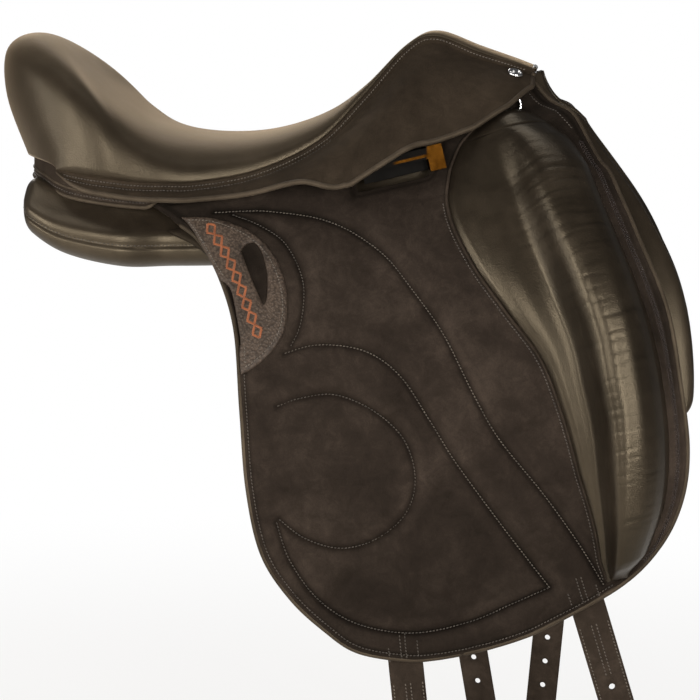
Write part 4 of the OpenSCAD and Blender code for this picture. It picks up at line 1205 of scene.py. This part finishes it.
# The plain case swells on a sparse grid. The swelling is evened out and laid on a close grid with the creases
_, sparse_t, sparse_places, sparse_h = block_grid(*SPARSE_GRID)
sparse_top, sparse_back = over_flap(sparse_places, sparse_h), over_flap(sparse_places, BLOCK_BACK)
block_held = np.ones(2 * sparse_h.size, bool)
at_seams = (sparse_t > HELD_FRONT) | (sparse_t < HELD_REAR)
block_held[:sparse_h.size] = ((sparse_h < HELD_BELOW) | at_seams).ravel()
swollen = swell(leaf(sparse_top, sparse_back), block_held, pressure=2.5, cap=4.0)[0][:sparse_h.size]
swollen = (swollen.reshape(sparse_top.shape) - sparse_top) * flap_out(sparse_places[..., 1])
swollen = evened(swollen.sum(-1), EVEN_ROUNDS)
block_l, block_t, block_places, block_h = block_grid(*BLOCK_GRID)
creases = block_creases(block_l, block_t)
block_top = over_flap(block_places, block_h + finer(swollen, *BLOCK_GRID) + creases)
block_shape = leaf(block_top, over_flap(block_places, BLOCK_BACK))
# Painted shade in the creases of the case's face; its back stays unshaded
block_crease_shade = np.concatenate([np.clip(1 + CREASE_DARK * creases, DARKEST, 1).ravel(), np.ones(creases.size)])
blocks = both("block_case", block_shape, BLOCK, "{}_flap", ["knee_block_{}"], block_crease_shade)

# Piping and stitching round the knee block and along the flap's edges
BLOCK_ROW_OUT, RIM_SHARE = 3.4, 0.42
FRONT_PIPING_DEPTH, FRONT_PIPING_R, REAR_BINDING_DEPTH, REAR_BINDING_R = 3.4, 2.3, 4.2, 2.2
rear_seam = block_place(np.linspace(-0.038, 0.922, 200), 0.0)
seam_points, seam_out = on_flap(rear_seam)
both("block_piping", tube(seam_points + seam_out, 1.3), NUBUCK, "{}_flap")
both("block_stitching", sew(*on_flap((rear_seam - [BLOCK_ROW_OUT, 0])[30:])), THREAD_DARK, "{}_flap")
rim_l = np.linspace(0.05, 0.90, 220)
front_run = front_edge[np.argsort(front_edge[:, 1])]
rim_row = block_place(rim_l, 1.0)
rim_row[:, 0] = mix(rim_row[:, 0], np.interp(rim_row[:, 1], front_run[:, 1], front_run[:, 0]), RIM_SHARE)
both("front_rim_stitching", zigzag(*on_flap(rim_row)), THREAD_BROWN, "{}_flap")
front_line = np.concatenate([front_edge, FLAP_FINE[-1, ::-1]])
front_line = over_flap(front_line, -FRONT_PIPING_DEPTH - 0.9 * TOP_SINK * top_inside(front_line))
front_line = resample(front_line, step=3)
both("front_piping", tube(front_line, FRONT_PIPING_R), EDGE, "{}_flap")
rear_line = resample(over_flap(rear_run, -REAR_BINDING_DEPTH), step=3)
both("rear_binding", tube(rear_line, REAR_BINDING_R), EDGE, "{}_flap")

# Leather patch with a drop-shaped opening, and a plain row of stitched diamonds
PATCH_OUTLINE = resample(np.vstack([
    spline([(38, 5), (68, 13), (101, 31), (125, 56), (138, 87), (139, 116), (129, 134), (112, 145),
            (101, 148)]),
    spline([(101, 148), (99, 130), (99.5, 121), (95, 100), (89, 78), (83.5, 70), (77, 64), (68, 49), (50, 20),
            (38, 5)])[1:],
]), step=2.2)[:-1]
DROP = resample(spline([(95, 46), (97.5, 42.5), (103, 41), (109, 44), (115, 54), (120, 71), (121, 88),
                        (119, 95), (115.5, 90), (109, 77), (101, 60), (95, 46)]), step=1.6)[:-1]
PATCH_ROWS = [
    spline([(44, 9.5), (68, 16.5), (98, 34), (121, 58), (134, 88), (135, 115), (126, 130.5), (111, 140.5),
            (104, 143)]),
    spline([(45, 11), (54, 23), (72, 51), (81, 64)]),
    spline([(103.5, 126), (104, 134), (105, 141)]),
]
DIAMONDS = resample(spline([(66, 22), (79, 42), (92, 66), (103, 91), (114, 116)]), count=9)
DIAMOND_LONG, DIAMOND_WIDE = 6.2, 4.2
PATCH_THICK, PATCH_SINK, PATCH_BACK = 2.2, 0.4, 0.6
PATCH_TOP = PADDED - PATCH_SINK + PATCH_THICK


def on_patch(p, side, drop):
    return over_flap(p, PATCH_TOP - drop if side > 0 else PADDED - PATCH_SINK - PATCH_BACK)


def patch_row(line, **sizes):
    return sew(over_flap(line, PATCH_TOP), flap_out(line[:, 1]), **sizes)


patch_shape = plate(PATCH_OUTLINE, [DROP], on_patch, spacing=4.0, rim=1.4, rim_drop=1.3)
both("patch", patch_shape, PATCH, "{}_flap", ["keeper_patch_{}"])
both("patch_stitching", join([patch_row(q) for q in PATCH_ROWS]), THREAD, "{}_flap")
diamond_rows = []
for middle, ahead in zip(DIAMONDS, unit(np.gradient(DIAMONDS, axis=0))):
    long, wide = DIAMOND_LONG * ahead, DIAMOND_WIDE * np.array([-ahead[1], ahead[0]])
    corners = [middle + long, middle + wide, middle - long, middle - wide]
    for k in range(4):
        edge = resample([corners[k], corners[(k + 1) % 4]], count=9)
        diamond_rows.append(patch_row(edge, pitch=0.85, length=2.8, radius=0.45, lean=62, lift=0.05))
both("patch_diamonds", join(diamond_rows), THREAD_ORANGE, "{}_flap")

# Panels: wool-filled cushions with a sewn seam round their lower third.
# Their rows: place as a share, inner side from the gullet, upper and lower outer side, bottom, drop of the
# top
PANEL_ROWS = [
    [-0.86, 27, 96, 104, 46, 42], [-0.80, 13, 112, 128, 31, 45], [-0.65, 5, 120, 140, 12, 55],
    [-0.42, 1, 120, 142, 1, 61], [-0.23, 0, 100, 118, 0, 65], [0.00, 0, 92, 114, 1, 63],
    [0.23, 1, 84, 108, 6, 55], [0.46, 3, 76, 100, 14, 45], [0.69, 5, 64, 88, 27, 33],
    [0.90, 7, 54, 76, 46, 19],
]
PANEL_CROWN, PANEL_SQUARE, GULLET_WIDTH = 14.0, 0.6, 70.0
PANEL_SEAM, SEAM_PRESS, SEAM_WIDE, PANEL_END, PANEL_TIP = -3.0, 2.2, 4.0, 1.1, 0.07
PANEL_TOP_TURN = 25


def panel_ring(place, a, press=True):
    """Points round the panel at turns a in degrees, pressed in at the seam."""
    r = curve_at(PANEL_ROWS, place)[..., None, :]
    inner = GULLET_WIDTH / 2 + r[..., 1]
    top = SEAT_HEIGHT - r[..., 5]
    middle, middle_z, half_z = (inner + r[..., 3]) / 2, (r[..., 4] + top) / 2, (top - r[..., 4]) / 2
    c, s = power(np.cos(np.radians(a)), PANEL_SQUARE), power(np.sin(np.radians(a)), PANEL_SQUARE)
    outer = mix(r[..., 3], r[..., 2], ease(s))
    out = c * np.where(c > 0, outer - middle, middle - inner)
    if press:
        out = out - SEAM_PRESS * bell(a - PANEL_SEAM, SEAM_WIDE) * (c > 0)
    k = np.clip(place[..., None] / PANEL_END, 0, 1)
    size = mix(PANEL_TIP, 1, np.sqrt(1 - (1 - k) ** 2))
    lift = half_z * s + PANEL_CROWN * ease(k * 0.6) * np.maximum(s, 0) * (1 - c * c)
    x = length_of(r[..., 0]) + 4 * (1 - k)
    return np.stack([x + 0 * out, -(middle + out * size), middle_z + lift * size], -1)


def swollen_loft(rings, held, pressure, cap):
    """Body through a row of rings that swells except at the held turns. Its end points are free."""
    shape = loft(rings)
    keep = np.zeros(len(shape[0]), bool)
    keep[: rings.shape[0] * rings.shape[1]] = np.tile(held, len(rings))
    return swell(shape, keep, pressure, cap)


at_seam = PANEL_SEAM + np.array([-7, -4.5, -2.5, -1, 0, 1, 2.5, 4.5])
panel_a = np.unique(np.concatenate([np.linspace(-176, 180, 72), at_seam]))
panel_places = np.concatenate([PANEL_END * (1 - np.cos(np.linspace(0, np.pi / 2, 16)))[:-1],
                               np.linspace(PANEL_END, len(PANEL_ROWS) - 1, 88)])
panel_held = (np.abs(panel_a - PANEL_SEAM) < 1.5) | (panel_a > PANEL_TOP_TURN)
panel_shape = swollen_loft(panel_ring(panel_places, panel_a), panel_held, pressure=3.0, cap=2.5)
for panel in both("panel_case", panel_shape, PANEL, "saddle", ["panel_{}"]):
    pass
seam_places = np.linspace(0.12, 8.4, 240)
panel_line = panel_ring(seam_places, np.array([PANEL_SEAM]))[:, 0]
beside_seam = panel_ring(seam_places, PANEL_SEAM + np.array([-3, 3]), False)
panel_out = to_right(unit(np.cross(beside_seam[:, 1] - beside_seam[:, 0], np.gradient(panel_line, axis=0))))
panel_stitching = sew(panel_line, panel_out, pitch=3.4, lift=0.2)
both("panel_stitching", panel_stitching, THREAD_DARK, "saddle")

# Padded roll along the front of the panel. Its rows: level and front edge as shares of the flap, width and
# thickness
ROLL_ROWS = [
    [-0.12, 0.733, 60, 9], [-0.083, 0.746, 66, 11], [-0.052, 0.766, 72, 12], [-0.018, 0.802, 84, 13],
    [0.044, 0.844, 96, 15], [0.119, 0.888, 112, 18], [0.20, 0.930, 120, 20], [0.34, 0.984, 98, 20],
    [0.48, 1.008, 68, 18], [0.60, 1.012, 36, 14], [0.635, 0.995, 18, 8],
]
ROLL_FACE, ROLL_SQUARE = LINING_TOP - LINING_THICK - 0.9, 0.7
ROLL_SEAM, ROLL_PRESS, ROLL_SEAM_WIDE, ROLL_BACK_TURN = -12.0, 2.0, 6, -20


def roll_ring(place, a):
    """Points round the roll at turns a in degrees, pressed in at its seam."""
    r = curve_at(ROLL_ROWS, place)[..., None, :]
    c, s = power(np.cos(np.radians(a)), ROLL_SQUARE), power(np.sin(np.radians(a)), ROLL_SQUARE)
    wide, thick = r[..., 2] / 2, r[..., 3] / 2
    press = ROLL_PRESS * bell(a - ROLL_SEAM, ROLL_SEAM_WIDE) * (c > 0)
    return flap_point(r[..., 1] * FLAP_WIDTH - wide + wide * c - press, r[..., 0] * FLAP_DROP + 0 * c,
                      ROLL_FACE - thick - thick * s)


roll_a = np.linspace(-172, 180, 60)
roll_rings = roll_ring(np.linspace(0, len(ROLL_ROWS) - 1, 90), roll_a)
roll_held = (np.abs(roll_a - ROLL_SEAM) < 4) | (roll_a < ROLL_BACK_TURN)
roll_shape = swollen_loft(roll_rings, roll_held, pressure=2.0, cap=2.0)
for roll in both("front_roll_case", roll_shape, LEATHER, "saddle", ["front_roll_{}"]):
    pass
roll_line = roll_ring(np.linspace(0.2, len(ROLL_ROWS) - 1.3, 200), np.array([ROLL_SEAM]))[:, 0]
roll_out = np.tile([0.75, -0.65, 0.1], (len(roll_line), 1))
both("front_roll_stitching", sew(roll_line, roll_out, lift=0.2), THREAD_DARK, "saddle")

# Band that closes the rear of the seat down to the panels, with its piped edge
FACING_HEIGHT, FACING_THICK, FACING_DROP, FACING_INSET, FACING_LAST = 24.0, 5.0, -1.0, 8.0, 6.0
FACING_ROUNDS, FACING_TIP, FACING_TAPER, FACING_SQUARE = 24, 0.1, 4, 0.6
facing_side = seam_point(np.linspace(0, FACING_LAST, 40))[1:] + np.array([0, FACING_INSET, 0])
facing_back = seat_point(np.zeros(81), np.linspace(-90, 90, 81), FACING_INSET)
facing = np.concatenate([(facing_side * mirror(True))[::-1], facing_back[::-1], facing_side])
facing = resample(facing, step=4) + np.array([0, 0, -FACING_DROP - FACING_HEIGHT / 2])
for _ in range(FACING_ROUNDS):
    facing[1:-1] = smoothed(facing)
facing_along = unit(np.gradient(facing, axis=0))
facing_out = unit(np.cross(facing_along, [0, 0, 1]))
facing_out = facing_out if facing_out[len(facing) // 2, 0] < 0 else -facing_out
facing_up = np.cross(facing_out, facing_along)
facing_up = np.where(facing_up[:, 2:] < 0, -facing_up, facing_up)
from_end = np.minimum(np.arange(len(facing)), np.arange(len(facing))[::-1])
facing_size = mix(FACING_TIP, 1.0, ease(from_end / FACING_TAPER))[:, None]


def on_facing(out, up):
    """Line along the band, at distances out from its middle and up from it."""
    return facing + facing_size * (facing_out * out + facing_up * up)


facing_half, facing_low = FACING_THICK / 2, -FACING_HEIGHT / 2
facing_turn = np.radians(np.arange(0, 360, 15))
facing_rings = np.stack([on_facing(facing_half * power(math.cos(t), FACING_SQUARE),
                                   -facing_low * power(math.sin(t), FACING_SQUARE)) for t in facing_turn], 1)
piece("rear_band", loft(facing_rings), NUBUCK, "saddle", ["rear_facing"])
rear_lines = [tube(on_facing(facing_half - 0.2, facing_low + 0.6), 2.0),
              tube(on_facing(facing_half - 0.1, facing_low + 8.4), 1.2, 8)]
piece("rear_piping", join(rear_lines), EDGE, "saddle")
rear_row = sew(on_facing(facing_half, facing_low + 4.6), facing_out)
piece("rear_facing_stitching", rear_row, THREAD_DARK, "saddle")

# Leather over the front of the pommel
POMMEL_HALF = [(0, 59), (30, 57), (44, 49), (41, 33), (56, 3), (62, -17), (44, -23), (38, -5), (34, 9),
               (20, 25), (0, 31)]
POMMEL_THICK = 10.0
pommel = np.array(POMMEL_HALF + [(-x, z) for x, z in POMMEL_HALF[-2:0:-1]] + POMMEL_HALF[:1], float)
pommel = resample(pommel, step=3)[:-1]


def on_pommel(p, side, drop):
    x = SEAT_FRONT + LIE_GAP + (POMMEL_THICK - drop if side > 0 else 0.0)
    return np.stack([x + 0 * p[:, 0], p[:, 0], SEAT_HEIGHT + p[:, 1]], 1)


pommel_shape = plate(pommel, [], on_pommel, spacing=6.0, rim=3.0, rim_drop=2.6)
piece("pommel_leather", pommel_shape, LEATHER, "saddle", ["pommel_facing"])

# Girth billets, which run up between flap and lining.
# Each has its place as shares of the flap, its tilt in degrees and how far its web leads
BILLETS = {
    "rear_right": ((0.50, 0.999), 6.0, 0.06), "front_right": ((0.827, 0.972), 17.0, 0.16),
    "rear_left": ((0.56, 1.006), 10.0, 0.06), "front_left": ((0.77, 1.000), -5.0, 0.16),
}
BILLET_DEPTH = -FLAP_THICK - WEB_GAP / 2
BILLET_TIP, BILLET_TIP_HALF, BILLET_TUCK = 22.0, 4.5, 26.0
TUCK_THINNER, BILLET_BENDS = 0.62, (5.0, -14.0)
ROW_IN, MIDDLE_ROW, ROW_POINTS = 2.4, 2.2, 60
EDGE_ROW_END, MIDDLE_ROW_END, WEB_TOP = 24, 172, 0.40
billet_half = BILLET_WIDTH / 2
billet_outline = resample([
    (-billet_half, BILLET_TUCK), (billet_half, BILLET_TUCK), (billet_half, BILLET_TIP - BILLET_LENGTH),
    (BILLET_TIP_HALF, -BILLET_LENGTH), (-BILLET_TIP_HALF, -BILLET_LENGTH),
    (-billet_half, BILLET_TIP - BILLET_LENGTH), (-billet_half, BILLET_TUCK),
], step=2.5)[:-1]
hole_turn = np.radians(np.arange(0, 360, 22.5))
hole_ring = HOLE_D / 2 * np.stack([np.cos(hole_turn), np.sin(hole_turn)], 1)
billet_holes = [hole_ring + [0, -FIRST_HOLE - k * HOLE_PITCH] for k in range(HOLES)]
hinge_out = np.array([math.sin(HINGE_YAW), -math.cos(HINGE_YAW), 0])
hinge_ahead = np.array([math.cos(HINGE_YAW), math.sin(HINGE_YAW), 0])
EDGE_ROWS, MIDDLE_ROWS = (-billet_half + ROW_IN, billet_half - ROW_IN), (-MIDDLE_ROW, MIDDLE_ROW)


def make_billet(which, place, tilt):
    """One billet with the stitching on it and the stitching on the flap over its root."""
    end, side = which.split("_")
    flip, body = side == "left", f"{side}_{end}_billet"
    foot = np.array(place) * [FLAP_WIDTH, FLAP_DROP]
    root = over_flap(foot, BILLET_DEPTH)
    sine, cosine = math.sin(math.radians(tilt)), math.cos(math.radians(tilt))
    across = cosine * hinge_ahead + np.array([0, 0, sine])
    upward = np.array([0, 0, cosine]) - sine * hinge_ahead

    def on_billet(p, face, drop):
        thin = 1 - TUCK_THINNER * ease((p[:, 1] + 4) / 10)
        depth = face * (BILLET_THICK / 2 * thin - drop)
        return root + p[:, :1] * across + p[:, 1:] * upward + depth[:, None] * hinge_out

    shape = plate(billet_outline, billet_holes, on_billet, spacing=5.0, rim=1.2, rim_drop=0.9)
    strap = piece(f"girth_billet_{which}", shape, NUBUCK, None, [f"billet_{which}"], flip)
    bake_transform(strap)
    strap_rows, root_rows = [], []
    for x in EDGE_ROWS + MIDDLE_ROWS:
        last = -BILLET_LENGTH + (EDGE_ROW_END if x in EDGE_ROWS else MIDDLE_ROW_END)
        line = np.stack([np.full(ROW_POINTS, x), np.linspace(-15, last, ROW_POINTS)], 1)
        strap_rows.append(sew(on_billet(line, 1, 0), np.tile(hinge_out, (ROW_POINTS, 1)), pitch=3.2))
    for x in sorted(EDGE_ROWS + MIDDLE_ROWS):
        run_up = np.linspace(8, 34 - abs(x), 30)[:, None]
        root_rows.append(sew(*on_flap(foot + [[x, 0]] + run_up * [[-sine, -cosine]])))
    piece(f"billet_stitching_{which}", join(strap_rows), THREAD, body, [], flip)
    piece(f"billet_root_stitching_{which}", join(root_rows), THREAD_DARK, f"{side}_flap", [], flip)


def billet_web(place, lead):
    """The web inside the flap that carries a billet."""
    level = np.linspace(WEB_TOP + 0.01, place[1] - 0.03, 40)[:, None]
    t = (level - WEB_TOP) / (place[1] - WEB_TOP)
    s = (place[0] - lead * (1 - t)) * FLAP_WIDTH + np.linspace(-billet_half, billet_half, 7)[None, :]
    d = level * FLAP_DROP
    return leaf(flap_point(s, d, -FLAP_THICK - LIE_GAP), flap_point(s, d, LINING_TOP + LIE_GAP))


for which, (place, tilt, _) in BILLETS.items():
    make_billet(which, place, tilt)
for side in SIDES:
    webs = [billet_web(BILLETS[f"{end}_{side}"][0], BILLETS[f"{end}_{side}"][2]) for end in ("rear", "front")]
    piece(f"billet_webs_{side}", join(webs), WEBBING, f"{side}_flap", [f"girth_webs_{side}"],
          side == "left")

# Webs that span the tree under the seat
STRAP_ROWS = [[0.83, 36], [0.62, 23], [0.30, -11], [0.04, -27], [-0.22, -26], [-0.50, -11], [-0.77, 6]]
STRAP_APART, STRAP_HALF, STRAP_HALF_THICK = 17.0, 13, 1
strap_line = spline([(float(length_of(x)), SEAT_HEIGHT + z) for x, z in STRAP_ROWS])
tree_webs = []
for middle in (-STRAP_APART, STRAP_APART):
    strap_y = middle + np.linspace(-STRAP_HALF, STRAP_HALF, 9)[None, :] + 0 * strap_line[:, :1]
    faces = [np.stack([strap_line[:, :1] + 0 * strap_y, strap_y, strap_line[:, 1:] + h + 0 * strap_y], -1)
             for h in (STRAP_HALF_THICK, -STRAP_HALF_THICK)]
    tree_webs.append(leaf(*faces))
piece("tree_webs", join(tree_webs), WEBBING, "saddle", ["seat_webbing"])

# Rigid CAD pieces keep their shapes and get their finish, some with softened edges
FINISHES = {
    "tree": WOOD, "head_plate": STEEL, "tree_rivets": STEEL, "bar_rivets": STEEL, "flap_hanger": NUBUCK,
    "stirrup_bar": BAR, "bar_recess": PLASTIC, "bar_catch": BRASS, "ring_staple": CHROME,
    "front_ring": CHROME,
}
SOFTENED = {"stirrup_bar": 0.9, "bar_catch": 0.35, "bar_recess": 0.6, "head_plate": 0.8, "flap_hanger": 0.8}
SOFT_FROM = 40
for node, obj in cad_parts.items():
    base = node.replace("_right", "").replace("_left", "")
    if base in FINISHES:
        obj.data.materials.clear()
        obj.data.materials.append(FINISHES[base])
    if base in SOFTENED:
        bevel = obj.modifiers.new("soft_edges", "BEVEL")
        bevel.width, bevel.segments, bevel.limit_method = SOFTENED[base] * MM, 3, "ANGLE"
        bevel.angle_limit = math.radians(SOFT_FROM)

# Camera at the photograph's angle
CAMERA_AT, CAMERA_TO, IMAGE, FOCAL_PX = (293.5, -2189.3, 221.9), (103.6, -19.0, -84.3), 700, 2383.5


def aim(obj, place, target):
    """Puts a camera or a lamp at a place, turned to a target."""
    obj.location = place
    obj.rotation_mode = "QUATERNION"
    obj.rotation_quaternion = (Vector(target) - Vector(place)).to_track_quat("-Z", "Y")


cam_data = bpy.data.cameras.new("camera")
cam_data.sensor_width = 36.0
cam_data.lens = FOCAL_PX / IMAGE * cam_data.sensor_width
cam_data.clip_start, cam_data.clip_end = 0.05, 50
camera = linked("camera", cam_data)
aim(camera, Vector(CAMERA_AT) * MM, Vector(CAMERA_TO) * MM)
bpy.context.scene.camera = camera

# Soft studio light from windows beside the camera. Each lamp has a place, a size in metres and its watts
LAMP_COLOUR, LIT_MIDDLE = (1, 0.97, 0.93), (0.08, -0.1, -0.05)
LAMPS = {
    "window_left": ((-1.75, -1.75, 0.25), (0.7, 1.1), 27), "window_rear": ((-2.1, -0.8, 0.3), (0.4, 1.1), 9),
    "window_front": ((-0.45, -2.55, 0.38), (0.75, 0.9), 22),
    "window_right": ((0.95, -2.4, 0.2), (0.28, 1.1), 25),
    "window_far": ((1.6, -1.9, 0.25), (0.26, 1.1), 17), "ceiling": ((-0.1, 0.2, 2.1), (1.2, 0.8), 7),
    "wall": ((-0.5, 1.9, 1.2), (1.4, 1.0), 18),
}
for name, (place, size, watts) in LAMPS.items():
    light = bpy.data.lights.new(name, "AREA")
    light.shape, light.energy, light.color = "RECTANGLE", watts, LAMP_COLOUR
    light.size, light.size_y = size
    aim(linked(name, light), place, LIT_MIDDLE)


def mirrored_ray(nodes, path):
    return nodes.math("MAXIMUM", path["Is Glossy Ray"], path["Is Transmission Ray"])


# White backdrop for the eye. Reflections show it behind the saddle, and a dim room above and before it
WORLD_LIGHT, ROOM_LIGHT = 0.17, 0.08
world = bpy.data.worlds.new("studio")
bpy.context.scene.world = world
sky = Nodes(world)
sky_path, sky_fill = sky.add("LightPath").outputs, sky.add("Background")
sky_way = sky.axes(sky.add("TexCoord").outputs["Generated"])
sky_low = sky.ranged(sky_way["Z"], 0.06, 0.32, 1.0, 0.0)
sky_behind = sky.math("MULTIPLY", sky.ranged(sky_way["Y"], 0.88, 0.99), sky_low)
sky_room = sky.math("SUBTRACT", sky.ranged(sky_behind, 0.0, 1.0, ROOM_LIGHT, 1.0), WORLD_LIGHT)
sky_lit = sky.math("ADD", WORLD_LIGHT, sky.math("MULTIPLY", mirrored_ray(sky, sky_path), sky_room))
sky.link(sky.math("MAXIMUM", sky_lit, sky_path["Is Camera Ray"]), sky_fill.inputs["Strength"])
sky_fill.inputs["Color"].default_value = (1, 1, 1, 1)
sky.link(sky_fill.outputs[0], sky.add("OutputWorld").inputs["Surface"])

# Pale floor. It shows the saddle's shadow near it and turns plain white further out
FLOOR_Z, FLOOR_HALF, FLOOR_COLOUR = cad_box[0][2] - 0.004, 14.0, (0.86, 0.83, 0.79, 1)
WHITE_FROM, WHITE_TO, NEAR_WHITE, MIRRORED_FLOOR = 0.7, 1.7, 0.78, 0.2
floor_mesh = bpy.data.meshes.new("floor")
floor_corners = [(FLOOR_HALF * x, FLOOR_HALF * y, FLOOR_Z) for x, y in ((-1, -1), (1, -1), (1, 1), (-1, 1))]
floor_mesh.from_pydata(floor_corners, [], [(0, 1, 2, 3)])
floor_paint = bpy.data.materials.new("floor")
floor_mesh.materials.append(floor_paint)
ground = Nodes(floor_paint)
ground_path, ground_far = ground.add("LightPath").outputs, ground.add("VectorMath", operation="LENGTH")
ground.link(ground.add("TexCoord").outputs["Object"], ground_far.inputs[0])
to_eye = ground.ranged(ground_far.outputs["Value"], WHITE_FROM, WHITE_TO, NEAR_WHITE, 1.0)
to_gloss = ground.ranged(ground_far.outputs["Value"], WHITE_FROM, WHITE_TO, MIRRORED_FLOOR, 0.0)
to_eye = ground.math("MULTIPLY", ground_path["Is Camera Ray"], to_eye)
to_gloss = ground.math("MULTIPLY", mirrored_ray(ground, ground_path), to_gloss)
matt, white, either = ground.add("BsdfDiffuse"), ground.add("Emission"), ground.add("MixShader")
matt.inputs["Color"].default_value = FLOOR_COLOUR
white.inputs["Color"].default_value, white.inputs["Strength"].default_value = (1, 1, 1, 1), 1.0
for socket, value in enumerate((ground.math("MAXIMUM", to_eye, to_gloss), matt.outputs[0], white.outputs[0])):
    ground.link(value, either.inputs[socket])
ground.link(either.outputs[0], ground.add("OutputMaterial").inputs["Surface"])
linked("floor", floor_mesh)

bpy.context.scene.view_settings.view_transform = "Standard"
